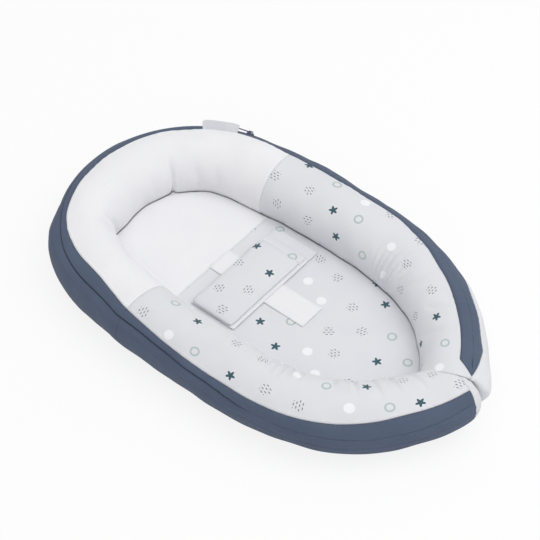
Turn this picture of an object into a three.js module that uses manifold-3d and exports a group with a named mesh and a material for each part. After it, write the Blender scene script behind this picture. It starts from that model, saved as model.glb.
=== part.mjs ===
// Infant lounger: a stuffed roll bent into an egg round a thin mattress, with a padded wrap across the middle.
// The roll's two ends meet at the foot and swing apart, and its cover opens with a zip round the head.
// Millimetres, +Z up, +Y towards the head. The origin is on the floor, under the middle of the lounger.
import * as THREE from "three";
import { mergeVertices } from "three/addons/utils/BufferGeometryUtils.js";
import Module from "manifold-3d";

const wasm = await Module();
wasm.setup();

const degrees = THREE.MathUtils.degToRad;
const mix = THREE.MathUtils.lerp;
const RIGHT = 1;
const LEFT = -1;

// Plan of the roll's centreline: a head arc, a side arc and a foot arc on each side, each tangent to the next.
// A heading is how far the line has turned from straight across the head, so 90 degrees points to the foot.
const headApexY = 349;
const headRadius = 178;
const sideRadius = 1310;
const footRadius = 286;
const shoulderHeading = degrees(82);
const bendHeading = degrees(96);

// Section of the roll: an oval a little wider than it is high, cut flat where it lies on the floor.
const headHalfWidth = 61;
const footHalfWidth = 54;
const heightShare = 0.91;
const floorCut = 1.4;

// The two domed ends press together on an upright plane across the lounger, a little right of the middle.
const joinX = 28;
const domeLength = 40;
const domeRun = 30;
const endCapLength = 25;

// A crease on each side of the head pinches the roll's inner face.
const creaseDistance = 100;
const creaseHalfWidth = 14;
const creaseDepth = 10;
const creaseSpreadShares = [0.3, 0.9];
const mattressCreaseShare = 0.7;

// Cloth, its clearances, and where each foot section of the roll swings.
const clothThickness = 1.6;
const clearance = 0.35;
const swingDistance = 590;
const swingGap = 0.6;
const cutOverrun = 40;

// Seams run along the roll at an angle round its section: 0 points outwards, 90 up and 180 inwards.
// Each list goes from the left tip through the foot's middle, the bend, the shoulder and the head to the right tip.
const upperSeamAngles = [60, 46, 43, 62, 60, 58, 64, 82, 86].map(degrees);
const zipSeamAngles = [32, 18, 25, 47, 47, 47, 46, 65, 72].map(degrees);
const lowerSeamAngles = [-58, -58, -58, -58, -58, -58, -20, 45, 59].map(degrees);
const innerSeamAngle = degrees(245);

// The printed cloth starts beyond the shoulders, on the roll and on the mattress.
const leftPrintDistance = 338;
const rightPrintDistance = 318;
const printEdgeY = 112;

// Zip round the head and down the left side, with its slider parked at the right shoulder.
const zipEndHeading = degrees(80);
const zipWidth = 3.4;
const zipRoom = 1;
const zipDepth = 1;
const zipRise = 0.6;
const sliderWidth = 9;
const sliderLength = 12;
const sliderHeight = 3;
const bridgeWidth = 2;
const bridgeOpening = 2.4;
const bridgeLength = 8;
const bridgeBar = 1.2;
const pullArm = 1.4;
const pullWidth = 8;
const pullLength = 24;
const pullEye = 8;

// Blank folded tag sewn into the upper seam at the head's right shoulder.
const tagDistance = 198;
const tagWidth = 57;
const tagHeight = 17;
const tagThickness = 1.6;
const tagLean = degrees(50);

// Base sheet and mattress.
const baseThickness = 3;
const mattressHeight = 30;
const mattressEdge = 8;
const mattressCloth = 1.2;
const mattressCorner = 5;
const spineHeadY = 150;
const spineFootY = -190;

// Loop strip along the mattress, from the printed cloth's edge to beyond the wrap.
const stripWidth = 46;
const stripFootY = -89;
const tapeThickness = 1;

// Wrap: a padded flap hinged near the mattress's right edge, lying across to the left.
const wrapHingeX = 91;
const wrapFreeX = -104;
const wrapHeadY = 85;
const wrapFootY = -2;
const wrapHeight = 10;
const wrapEdgeHeight = 4;
const wrapEdgeRun = 24;
const wrapSetback = 12;
const wrapDraw = 3;
const liningThickness = 1;
const liningBorder = 5;
const hookPatchWidth = 40;
const hookPatchLength = 70;
const anchorWidth = 26;

// Hook and loop discs between the two ends of the roll.
const discRadius = 18;
const fastenerThickness = 1.2;

// How finely the forms are cut.
const headSteps = 6;
const sideSteps = 2;
const footSteps = 6;
const domeSteps = 3;
const domeTurn = degrees(78);
const sectionSides = 14;
const flatsDepth = headHalfWidth * (1 - Math.cos(Math.PI / sectionSides));
const wedgeSteps = 20;
const wedgeScale = 1.06;
const discSides = 24;
const mattressSteps = 3;
const tagSteps = 4;
const wrapSteps = 10;
const wrapSides = 8;

const colours = {
  white: 0xf1f0f3,
  print: 0xdcdde4,
  slate: 0x57647a,
  fibre: 0xf4f2ec,
  foam: 0xf3efdf,
  loop: 0xf2f2f4,
  hook: 0xe6e6ea,
  zip: 0x454f61,
  metal: 0x6b7482,
};

const outward = (heading) => new THREE.Vector2(Math.sin(heading), Math.cos(heading));

// The arcs of one side, each with its centre, its start heading and the distance along the line where it starts.
const arcs = [];
for (const [radius, start] of [
  [headRadius, 0],
  [sideRadius, shoulderHeading],
  [footRadius, bendHeading],
]) {
  const last = arcs[arcs.length - 1];
  const centre = last
    ? last.centre.clone().addScaledVector(outward(start), last.radius - radius)
    : new THREE.Vector2(0, headApexY - radius);
  const from = last ? last.from + last.radius * (start - last.start) : 0;
  arcs.push({ radius, start, centre, from });
}
const [headArc, sideArc, footArc] = arcs;
const shoulderDistance = sideArc.from;
const bendDistance = footArc.from;

// Position and heading of the centreline at a distance from the head's apex, on one side.
function centreline(distance, side) {
  const arc = arcs.findLast((a) => distance >= a.from) ?? headArc;
  const heading = arc.start + (distance - arc.from) / arc.radius;
  const point = arc.centre.clone().addScaledVector(outward(heading), arc.radius);
  return { x: side * point.x, y: point.y, heading };
}

// The distance at which a line beside one side's centreline crosses the joining plane, given its foot arc's radius.
function joinDistance(side, radius) {
  const heading = Math.PI - Math.asin((side * joinX - footArc.centre.x) / radius);
  return footArc.from + (heading - footArc.start) * footRadius;
}
const tips = { [LEFT]: joinDistance(LEFT, footRadius), [RIGHT]: joinDistance(RIGHT, footRadius) };
const domeEnd = (side) => tips[side] - domeRun + domeLength * Math.sin(domeTurn);
const insideEnd = (side) => joinDistance(side, footRadius - footHalfWidth) - side * mattressCorner;
const zipEndDistance = headRadius * zipEndHeading;

// Half width of the roll: full round the head, then an even taper to the tips, rounded off in a dome at each end.
function halfWidth(distance, side) {
  const along = (distance - shoulderDistance) / (tips[side] - shoulderDistance);
  return mix(headHalfWidth, footHalfWidth, THREE.MathUtils.clamp(along, 0, 1));
}
function domeScale(distance, side) {
  const into = (distance - (tips[side] - domeRun)) / domeLength;
  return into <= 0 ? 1 : Math.sqrt(Math.max(0, 1 - into * into));
}

// How deep the head crease is at a distance, for a direction round the section given by its cosine.
function creaseAt(distance, cosine) {
  const near = Math.max(0, 1 - Math.abs(distance - creaseDistance) / creaseHalfWidth);
  return creaseDepth * near * THREE.MathUtils.smoothstep(-cosine, ...creaseSpreadShares);
}

// A point of the roll's section at an angle, moved in from the surface by an inset.
function sectionPoint(distance, side, angle, inset) {
  const { x, y, heading } = centreline(distance, side);
  const full = halfWidth(distance, side);
  const scale = domeScale(distance, side);
  const pinch = creaseAt(distance, Math.cos(angle));
  const across = Math.max(full * scale - inset - pinch, clearance);
  const upright = Math.max(full * heightShare * scale - inset, clearance);
  const centreZ = full * heightShare - floorCut;
  const reach = side * across * Math.cos(angle);
  const z = Math.max(centreZ + upright * Math.sin(angle), inset);
  return new THREE.Vector3(x + reach * Math.sin(heading), y + side * reach * Math.cos(heading), z);
}

// How far in from the centreline the mattress finds the roll's inner face at a height above the floor.
function innerReach(distance, side, height) {
  const full = halfWidth(distance, side);
  const upright = full * heightShare;
  const rise = (height - (upright - floorCut)) / upright;
  const cosine = Math.sqrt(Math.max(0, 1 - rise * rise));
  return (full - mattressCreaseShare * creaseAt(distance, -cosine)) * cosine;
}

// A seam's angle at a signed distance along the roll: negative on the left, positive on the right.
function seamAngle(angles, signed) {
  const side = signed < 0 ? LEFT : RIGHT;
  const distance = Math.min(Math.abs(signed), tips[side]);
  const knots = [0, shoulderDistance, bendDistance, (bendDistance + tips[side]) / 2, tips[side]];
  const last = Math.max(0, knots.findLastIndex((knot) => distance >= knot));
  const next = Math.min(last + 1, knots.length - 1);
  const share = next === last ? 0 : (distance - knots[last]) / (knots[next] - knots[last]);
  const middle = (angles.length - 1) / 2;
  const eased = THREE.MathUtils.smoothstep(share, 0, 1);
  return mix(angles[middle + side * last], angles[middle + side * next], eased);
}
const upperSeam = (signed) => seamAngle(upperSeamAngles, signed);
const zipSeam = (signed) => seamAngle(zipSeamAngles, signed);
const lowerSeam = (signed) => seamAngle(lowerSeamAngles, signed);

// Signed distances where the roll is cut into rings between two ends, leaving out those that fall too close.
function stations(from, to) {
  const cuts = [-leftPrintDistance, rightPrintDistance, zipEndDistance, zipEndDistance + zipWidth];
  const add = (start, end, steps, side) => {
    for (let step = 0; step <= steps; step++) cuts.push(side * mix(start, end, step / steps));
  };
  for (const side of [LEFT, RIGHT]) {
    const domeStart = tips[side] - domeRun;
    add(0, shoulderDistance, headSteps, side);
    add(shoulderDistance, bendDistance, sideSteps, side);
    add(bendDistance, domeStart, footSteps, side);
    add(creaseDistance - creaseHalfWidth, creaseDistance + creaseHalfWidth, 2, side);
    cuts.push(side * insideEnd(side), side * (tips[side] - endCapLength));
    for (let step = 1; step <= domeSteps; step++)
      cuts.push(side * (domeStart + domeLength * Math.sin((step / domeSteps) * domeTurn)));
  }
  const kept = [from];
  for (const cut of cuts.sort((a, b) => a - b))
    if (cut - kept[kept.length - 1] > clothThickness && to - cut > clothThickness) kept.push(cut);
  return [...kept, to];
}

// A geometry of points and triangles, turned round if its faces point inwards.
function solidGeometry(points, triangles) {
  let volume = 0;
  for (const [a, b, c] of triangles) volume += points[a].dot(points[b].clone().cross(points[c]));
  const index = triangles.flatMap(([a, b, c]) => (volume < 0 ? [a, c, b] : [a, b, c]));
  return new THREE.BufferGeometry().setFromPoints(points).setIndex(index);
}

// A closed body through rings of equally many points, with a fan of triangles over each end.
function ringSolid(rings) {
  const count = rings[0].length;
  const points = rings.flat();
  const triangles = [];
  for (let ring = 0; ring + 1 < rings.length; ring++)
    for (let i = 0; i < count; i++) {
      const [a, b] = [ring * count + i, ring * count + ((i + 1) % count)];
      triangles.push([a, b, b + count], [a, b + count, a + count]);
    }
  const addFan = (ring, turned) => {
    const middle = new THREE.Vector3();
    for (const point of rings[ring]) middle.addScaledVector(point, 1 / count);
    const tip = points.push(middle) - 1;
    for (let i = 0; i < count; i++) {
      const [a, b] = [ring * count + i, ring * count + ((i + 1) % count)];
      triangles.push(turned ? [tip, b, a] : [tip, a, b]);
    }
  };
  addFan(0, true);
  addFan(rings.length - 1, false);
  return solidGeometry(points, triangles);
}

// A closed sheet between two grids of points, one for each face.
function sheetSolid(front, back) {
  const [rows, columns] = [front.length, front[0].length];
  const points = [...front.flat(), ...back.flat()];
  const at = (face, row, column) => face * rows * columns + row * columns + column;
  const triangles = [];
  const quad = (a, b, c, d) => triangles.push([a, b, c], [a, c, d]);
  for (let r = 0; r + 1 < rows; r++)
    for (let c = 0; c + 1 < columns; c++) {
      quad(at(0, r, c), at(0, r, c + 1), at(0, r + 1, c + 1), at(0, r + 1, c));
      quad(at(1, r, c), at(1, r + 1, c), at(1, r + 1, c + 1), at(1, r, c + 1));
    }
  for (let r = 0; r + 1 < rows; r++) {
    quad(at(0, r, 0), at(0, r + 1, 0), at(1, r + 1, 0), at(1, r, 0));
    quad(at(0, r, columns - 1), at(1, r, columns - 1), at(1, r + 1, columns - 1), at(0, r + 1, columns - 1));
  }
  for (let c = 0; c + 1 < columns; c++) {
    quad(at(0, 0, c), at(1, 0, c), at(1, 0, c + 1), at(0, 0, c + 1));
    quad(at(0, rows - 1, c), at(0, rows - 1, c + 1), at(1, rows - 1, c + 1), at(1, rows - 1, c));
  }
  return solidGeometry(points, triangles);
}

// Cutting and joining of closed geometries.
function toSolid(geometry) {
  const bare = geometry.index ? geometry.toNonIndexed() : geometry.clone();
  bare.deleteAttribute("normal");
  bare.deleteAttribute("uv");
  const merged = mergeVertices(bare);
  return new wasm.Manifold(
    new wasm.Mesh({
      numProp: 3,
      vertProperties: merged.attributes.position.array,
      triVerts: new Uint32Array(merged.index.array),
    }),
  );
}
function toGeometry(solid) {
  const { vertProperties, triVerts } = solid.getMesh();
  return new THREE.BufferGeometry()
    .setAttribute("position", new THREE.BufferAttribute(vertProperties, 3))
    .setIndex(new THREE.BufferAttribute(triVerts, 1));
}
const cut = (geometry, ...tools) => toGeometry(tools.reduce((s, tool) => s.subtract(toSolid(tool)), toSolid(geometry)));
const meet = (geometry, tool) => toGeometry(toSolid(geometry).intersect(toSolid(tool)));
const join = (geometry, ...others) => toGeometry(others.reduce((s, o) => s.add(toSolid(o)), toSolid(geometry)));

// A block between two corners.
function block(lowX, highX, lowY, highY, lowZ, highZ) {
  const box = new THREE.BoxGeometry(highX - lowX, highY - lowY, highZ - lowZ);
  return box.translate((lowX + highX) / 2, (lowY + highY) / 2, (lowZ + highZ) / 2);
}

// A block that takes away all that is headwards or footwards of a line across the lounger.
const cutReach = headRadius + sideRadius;
const headwardsOf = (y) => block(-cutReach, cutReach, y, y + cutReach, -cutReach, cutReach);
const footwardsOf = (y) => block(-cutReach, cutReach, y - cutReach, y, -cutReach, cutReach);

// A block that takes away all that lies past the joining plane of one side, less a gap.
function pastJoin(side, gap) {
  const near = joinX + side * gap;
  const far = near - side * cutReach;
  return block(Math.min(near, far), Math.max(near, far), -cutReach, 0, -cutReach, cutReach);
}

const lounger = new THREE.Group();
function addPart(name, geometry, colour, roughness = 0.9, metalness = 0) {
  const mesh = new THREE.Mesh(geometry, new THREE.MeshStandardMaterial({ color: colour, roughness, metalness }));
  mesh.name = name;
  lounger.add(mesh);
  return mesh;
}

// Rings round the roll at signed distances, moved in from the surface by an inset.
function rollRings(places, inset) {
  return places.map((signed) => {
    const side = signed < 0 ? LEFT : RIGHT;
    const ring = [];
    for (let i = 0; i < sectionSides; i++)
      ring.push(sectionPoint(Math.abs(signed), side, (i / sectionSides) * Math.PI * 2, inset));
    return ring;
  });
}
const rollCore = (places, inset) => ringSolid(rollRings(places, inset));
const overrun = (places) => [places[0] - cutOverrun, ...places, places[places.length - 1] + cutOverrun];
const rollShell = (places) => cut(rollCore(places, 0), rollCore(overrun(places), clothThickness));

// A wedge out from the centreline that holds all of the roll from a seam over the top to the inner seam.
// A raise moves the seam up, and a spill moves the wedge's far face on past the inner seam.
function wedge(places, seam, raise, spill) {
  const rings = overrun(places).map((signed) => {
    const [side, distance] = [signed < 0 ? LEFT : RIGHT, Math.abs(signed)];
    const { x, y, heading } = centreline(distance, side);
    const full = halfWidth(distance, side);
    const upright = full * heightShare;
    const low = seam(signed) + raise(signed) / upright;
    const high = innerSeamAngle + spill / upright;
    const ring = [new THREE.Vector3(x, y, upright - floorCut)];
    for (let step = 0; step <= wedgeSteps; step++) {
      const angle = mix(low, high, step / wedgeSteps);
      const reach = wedgeScale * full * Math.cos(angle);
      const z = upright - floorCut + wedgeScale * upright * Math.sin(angle);
      ring.push(new THREE.Vector3(x + side * reach * Math.sin(heading), y + reach * Math.cos(heading), z));
    }
    return ring;
  });
  return ringSolid(rings);
}

// Cover of one body: an inner panel, two bands outside and an underside, cut along the same seams.
const halfGap = clearance / 2;
const seamMargin = () => halfGap;
function addCover(names, places, innerPanels, slotMargin = seamMargin, ...tools) {
  const shell = cut(rollShell(places), ...tools);
  const above = (seam, margin) => wedge(places, seam, margin, -halfGap);
  const beyond = (seam, margin) => wedge(places, seam, (signed) => -margin(signed), halfGap);
  for (const [name, from, to, colour] of innerPanels) {
    const whole = from === places[0] && to === places[places.length - 1];
    addPart(name, meet(whole ? shell : rollShell(stations(from, to)), above(upperSeam, seamMargin)), colour);
  }
  const upper = cut(meet(shell, above(zipSeam, slotMargin)), beyond(upperSeam, seamMargin));
  const lower = cut(meet(shell, above(lowerSeam, seamMargin)), beyond(zipSeam, slotMargin));
  addPart(names.upper, upper, colours.slate);
  addPart(names.lower, lower, colours.slate);
  addPart(names.underside, cut(shell, beyond(lowerSeam, seamMargin)), colours.white);
}

// The roll between the two bends: white inside at the head and printed beyond, with a slot for the zip.
const stuffingInset = clothThickness + 2 * clearance;
const rootPlaces = stations(swingGap / 2 - swingDistance, swingDistance - swingGap / 2);
const [rootLeft, rootRight] = [rootPlaces[0], rootPlaces[rootPlaces.length - 1]];
addPart("filling_main", rollCore(rootPlaces, stuffingInset), colours.fibre);
addCover(
  { upper: "upper_band", lower: "lower_band", underside: "underside_main" },
  rootPlaces,
  [
    ["head_panel", halfGap - leftPrintDistance, rightPrintDistance - halfGap, colours.white],
    ["left_print_panel", rootLeft, -leftPrintDistance - halfGap, colours.print],
    ["right_print_panel", rightPrintDistance + halfGap, rootRight, colours.print],
  ],
  (signed) => (signed <= zipEndDistance ? zipWidth / 2 + zipRoom : halfGap),
);

// Zip chain in its slot between the two bands.
function chainFace(inset) {
  return stations(rootLeft, zipEndDistance - clearance).map((signed) => {
    const [side, distance] = [signed < 0 ? LEFT : RIGHT, Math.abs(signed)];
    const half = zipWidth / 2 / (halfWidth(distance, side) * heightShare);
    return [-half, half].map((turn) => sectionPoint(distance, side, zipSeam(signed) + turn, inset));
  });
}
addPart("zip_chain", sheetSolid(chainFace(-zipRise), chainFace(zipDepth)), colours.zip);

// The foot sections: stuffing and cover from the bend to the end cap, and a domed cap on the end.
const joinGap = fastenerThickness + clearance;
const between = (a, b) => stations(Math.min(a, b), Math.max(a, b));
for (const [word, side] of [
  ["left", LEFT],
  ["right", RIGHT],
]) {
  const start = side * (swingDistance + swingGap / 2);
  const seam = side * (tips[side] - endCapLength);
  const end = side * domeEnd(side);
  const stuffing = rollCore(between(start, end), stuffingInset);
  addPart(`${word}_foot_filling`, cut(stuffing, pastJoin(side, joinGap + stuffingInset)), colours.fibre);
  const places = between(start, seam - side * clearance);
  const panel = [`${word}_foot_print_panel`, places[0], places[places.length - 1], colours.print];
  addCover(
    {
      upper: `${word}_foot_upper_band`,
      lower: `${word}_foot_lower_band`,
      underside: `${word}_foot_underside`,
    },
    places,
    [panel],
    seamMargin,
    pastJoin(side, joinGap),
  );

  const cap = cut(rollCore(between(seam, end), 0), pastJoin(side, joinGap));
  const hollowPlaces = between(seam, end);
  const open = side > 0 ? [seam - cutOverrun, ...hollowPlaces] : [...hollowPlaces, seam + cutOverrun];
  const hollow = cut(rollCore(open, clothThickness), pastJoin(side, joinGap + clothThickness));
  addPart(`${word}_end_cap`, cut(cap, hollow), colours.print);
}

// Hook and loop discs on the two caps, facing each other across the joining plane.
const tipPoint = (side) => centreline(tips[side], side);
const discY = (tipPoint(LEFT).y + tipPoint(RIGHT).y) / 2;
const discZ = footHalfWidth * heightShare - floorCut;
for (const [name, side, colour] of [
  ["left_hook_disc", LEFT, colours.hook],
  ["right_loop_disc", RIGHT, colours.loop],
]) {
  const disc = new THREE.CylinderGeometry(discRadius, discRadius, fastenerThickness, discSides);
  disc.rotateZ(Math.PI / 2).translate(joinX + side * (halfGap + fastenerThickness / 2), discY, discZ);
  addPart(name, disc, colour);
}

// Zip slider at the chain's right end, and its pull, made lying along X and set on the roll with its own axes.
const sliderDistance = zipEndDistance - sliderLength;
const sliderPlace = centreline(sliderDistance, RIGHT);
const zipNormalAngle = zipSeam(sliderDistance);
const out = outward(sliderPlace.heading);
const along = new THREE.Vector3(out.y, -out.x, 0);
const normal = new THREE.Vector3(
  out.x * Math.cos(zipNormalAngle) * heightShare,
  out.y * Math.cos(zipNormalAngle) * heightShare,
  Math.sin(zipNormalAngle),
).normalize();
const across = new THREE.Vector3().crossVectors(normal, along);
const seat = sectionPoint(sliderDistance, RIGHT, zipNormalAngle, -zipRise - clearance);
const onZip = new THREE.Matrix4().makeBasis(along, across, normal).setPosition(seat);

const bridgeTop = sliderHeight + bridgeOpening + bridgeBar;
const bridge = block(-bridgeLength / 2, bridgeLength / 2, -bridgeWidth / 2, bridgeWidth / 2, sliderHeight / 2, bridgeTop);
const gateX = bridgeLength / 2 - bridgeBar;
const gate = block(-gateX, gateX, -bridgeWidth, bridgeWidth, sliderHeight, sliderHeight + bridgeOpening);
const sliderBody = block(-sliderLength / 2, sliderLength / 2, -sliderWidth / 2, sliderWidth / 2, 0, sliderHeight);
addPart("zip_slider", join(sliderBody, cut(bridge, gate)).applyMatrix4(onZip), colours.metal, 0.4, 0.8);

const pullZ = sliderHeight + bridgeOpening / 2;
const pullBar = pullArm / 2;
const pullStart = -pullBar;
const tab = block(pullStart, pullLength, -pullWidth / 2, pullWidth / 2, pullZ - pullBar, pullZ + pullBar);
const eye = block(pullBar, pullEye, pullArm - pullWidth / 2, pullWidth / 2 - pullArm, 0, bridgeTop);
addPart("zip_pull", cut(tab, eye).rotateZ(Math.PI).applyMatrix4(onZip), colours.metal, 0.4, 0.8);

// Tag standing out of the upper seam, leaning away from the middle.
function tagFace(offset) {
  const rows = [];
  for (let step = 0; step <= tagSteps; step++) {
    const distance = tagDistance + mix(-tagWidth / 2, tagWidth / 2, step / tagSteps);
    const { heading } = centreline(distance, RIGHT);
    const base = sectionPoint(distance, RIGHT, upperSeam(distance), 0);
    const side = new THREE.Vector3(Math.sin(heading), Math.cos(heading), 0);
    const up = side.clone().multiplyScalar(Math.cos(tagLean)).setZ(Math.sin(tagLean));
    const face = side.clone().multiplyScalar(-Math.sin(tagLean)).setZ(Math.cos(tagLean));
    base.addScaledVector(face, offset);
    rows.push([base, base.clone().addScaledVector(up, tagHeight)]);
  }
  return rows;
}
addPart("tag", sheetSolid(tagFace(tagThickness / 2), tagFace(-tagThickness / 2)), colours.white);

// The floor of the lounger follows the roll's inner face from end to end and cuts the corner between the ends.
const insideStations = stations(-insideEnd(LEFT), insideEnd(RIGHT));
function insideRing(height, inset, share, z) {
  return insideStations.map((signed) => {
    const [side, distance] = [signed < 0 ? LEFT : RIGHT, Math.abs(signed)];
    const { x, y, heading } = centreline(distance, side);
    const reach = innerReach(distance, side, height) + flatsDepth + inset;
    const edge = new THREE.Vector3(x - side * reach * Math.sin(heading), y - reach * Math.cos(heading), z);
    const spine = new THREE.Vector3(0, THREE.MathUtils.clamp(edge.y, spineFootY, spineHeadY), z);
    return edge.lerp(spine, share);
  });
}

// All that lies footwards of the inner corner and right of the joining plane, with room before it.
const cornerRadius = footRadius - footHalfWidth;
const cornerY = footArc.centre.y - Math.sqrt(cornerRadius ** 2 - (joinX - footArc.centre.x) ** 2);
const pastCorner = (room) => block(joinX - room, cutReach, -cutReach, cornerY + room, -cutReach, cutReach);
const baseRing = (z) => insideRing(baseThickness + clearance, 0, 0, z);
const base = ringSolid([baseRing(0), baseRing(baseThickness)]);
addPart("base_panel", cut(base, pastCorner(2 * clearance)), colours.white);

// Mattress form: sides that follow the roll, a rounded edge and a level top, less the corner that the right end fills.
const mattressBottom = baseThickness + clearance;
const mattressTop = mattressBottom + mattressHeight;
function mattressForm(inset, extension = 0) {
  const sideTop = mattressTop - mattressEdge;
  const rings = [insideRing(mattressBottom, inset, 0, mattressBottom)];
  if (extension > 0) rings.unshift(insideRing(mattressBottom, inset, 0, mattressBottom - extension));
  for (let step = 1; step <= mattressSteps; step++) {
    const height = mix(mattressBottom, sideTop, step / mattressSteps);
    rings.push(insideRing(height, inset, 0, height));
  }
  for (const turn of [degrees(45), degrees(90)]) {
    const height = sideTop + (mattressEdge - inset) * Math.sin(turn);
    rings.push(insideRing(height, inset + (mattressEdge - inset) * (1 - Math.cos(turn)), 0, height));
  }
  rings.push(insideRing(mattressTop - inset, mattressEdge, 1 / 2, mattressTop - inset));
  return cut(ringSolid(rings), pastCorner(2 * clearance + inset));
}
const mattressShell = cut(mattressForm(0), mattressForm(mattressCloth, cutOverrun));
addPart("mattress_head_cover", cut(mattressShell, footwardsOf(printEdgeY + halfGap)), colours.white);
addPart("mattress_foot_cover", cut(mattressShell, headwardsOf(printEdgeY - halfGap)), colours.print);
const stuffed = mattressForm(mattressCloth + clearance);
const slab = (low, high) => block(-cutReach, cutReach, -cutReach, cutReach, low, high);
const underClothTop = mattressBottom + mattressCloth;
addPart("mattress_core", cut(stuffed, slab(0, underClothTop + clearance)), colours.foam);
addPart("mattress_under_cloth", cut(stuffed, slab(underClothTop, cutReach)), colours.white);

// Loop strip, then the wrap's layers on it: hook patch, lining and pad.
const stripBottom = mattressTop + clearance;
const stripTop = stripBottom + tapeThickness;
const strip = block(-stripWidth / 2, stripWidth / 2, stripFootY, printEdgeY, stripBottom, stripTop);
addPart("loop_strip", strip, colours.loop);

const patchBottom = stripTop + clearance;
const patchTop = patchBottom + fastenerThickness;
const wrapMiddleY = (wrapHeadY + wrapFootY) / 2;
const patchY = [wrapMiddleY - hookPatchLength / 2, wrapMiddleY + hookPatchLength / 2];
addPart(
  "wrap_hook_patch",
  block(-hookPatchWidth / 2, hookPatchWidth / 2, ...patchY, patchBottom, patchTop),
  colours.hook,
);

const liningBottom = patchTop + clearance;
const liningTop = liningBottom + liningThickness;
const liningY = [wrapFootY - liningBorder, wrapHeadY];
addPart("wrap_lining", block(wrapFreeX, wrapHingeX, ...liningY, liningBottom, liningTop), colours.white);

// The pad swells between its ends, and its long sides draw in between the corners.
const padBottom = liningTop + clearance;
const padEnd = wrapHingeX - wrapSetback;
const padRings = [];
for (let step = 0; step <= wrapSteps; step++) {
  const x = mix(wrapFreeX, padEnd, step / wrapSteps);
  const fromEnd = Math.min(x - wrapFreeX, padEnd - x);
  const rise = mix(wrapEdgeHeight, wrapHeight, Math.sqrt(THREE.MathUtils.clamp(fromEnd / wrapEdgeRun, 0, 1)));
  const half = (wrapHeadY - wrapFootY) / 2 - wrapDraw * Math.sin((Math.PI * step) / wrapSteps);
  const ring = [];
  for (let i = 0; i <= wrapSides; i++) {
    const turn = (Math.PI * i) / wrapSides;
    ring.push(new THREE.Vector3(x, wrapMiddleY + half * Math.cos(turn), padBottom + rise * Math.sqrt(Math.sin(turn))));
  }
  padRings.push(ring);
}
addPart("wrap_pad", ringSolid(padRings), colours.print);

// Anchor flap that holds the wrap's hinged edge to the mattress.
const anchorTop = liningBottom - 2 * clearance;
const anchorX = [wrapHingeX + clearance, wrapHingeX + anchorWidth];
addPart("wrap_anchor", block(...anchorX, ...liningY, stripBottom, anchorTop), colours.print);

// The lounger is centred over the origin.
const box = new THREE.Box3().setFromObject(lounger);
lounger.position.set(-(box.min.x + box.max.x) / 2, -(box.min.y + box.max.y) / 2, 0);

export default lounger;
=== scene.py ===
import math
from contextlib import contextmanager

import bmesh
import bpy
import numpy as np
from mathutils import Matrix, Vector
from mathutils.bvhtree import BVHTree


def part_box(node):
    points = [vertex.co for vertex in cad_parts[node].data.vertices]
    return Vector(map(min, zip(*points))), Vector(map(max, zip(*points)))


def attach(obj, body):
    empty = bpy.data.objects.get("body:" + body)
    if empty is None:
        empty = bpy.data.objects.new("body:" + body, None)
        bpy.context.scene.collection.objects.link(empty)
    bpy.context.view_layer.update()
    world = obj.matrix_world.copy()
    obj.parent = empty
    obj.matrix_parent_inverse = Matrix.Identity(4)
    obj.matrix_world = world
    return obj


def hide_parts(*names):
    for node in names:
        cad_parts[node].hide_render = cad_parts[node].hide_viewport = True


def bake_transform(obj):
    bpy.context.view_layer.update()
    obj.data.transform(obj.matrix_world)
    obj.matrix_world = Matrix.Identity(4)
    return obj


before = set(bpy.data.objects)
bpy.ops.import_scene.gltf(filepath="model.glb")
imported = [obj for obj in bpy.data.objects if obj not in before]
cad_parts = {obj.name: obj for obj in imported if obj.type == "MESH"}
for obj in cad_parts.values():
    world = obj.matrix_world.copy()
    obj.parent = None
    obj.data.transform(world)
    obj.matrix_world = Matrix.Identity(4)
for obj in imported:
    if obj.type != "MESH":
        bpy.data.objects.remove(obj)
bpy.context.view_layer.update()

LEFT = -1
RIGHT = 1

# Plan and section of the roll in metres, as the lounger is sewn: a head arc, side arcs and foot arcs.
HEAD_APEX_Y = 0.349
HEAD_RADIUS = 0.178
SIDE_RADIUS = 1.310
FOOT_RADIUS = 0.286
SHOULDER_HEADING = math.radians(82)
BEND_HEADING = math.radians(96)
HEAD_HALF_WIDTH = 0.061
FOOT_HALF_WIDTH = 0.054
HEIGHT_SHARE = 0.91
HEAD_HALF_HEIGHT = HEAD_HALF_WIDTH * HEIGHT_SHARE
FOOT_HALF_HEIGHT = FOOT_HALF_WIDTH * HEIGHT_SHARE
FLOOR_CUT = 0.0005
FLOOR_CLEARANCE = 0.0001
SWING_DISTANCE = 0.590

# The two ends meet at a plane: its place, the gap to it, and how softly and from where it shapes each end.
JOIN_X = 0.028
JOIN_GAP = 0.0017
JOIN_SOFTNESS = 0.005
JOIN_CREASE = 0.0007
MOULD_SOFTNESS = 0.002
TIP_RUN = (0.09, 0.05)
JOIN_RUN = 0.06

# Each end's dome: its length, how far before the plane it starts, and the exponents that make its outline
# full. The right dome starts further along above than below, so it hangs over.
DOME_LENGTH = {LEFT: 0.052, RIGHT: 0.026}
DOME_RUN = {LEFT: 0.042, RIGHT: 0.004}
LEFT_FULLNESS = 3.0
OUTER_FULLNESS = 1.5
RIGHT_FULLNESS = 4.0
OVERHANG = (-0.012, 0.022)
OVERHANG_RISE = (-0.4, 0.5)

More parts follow.
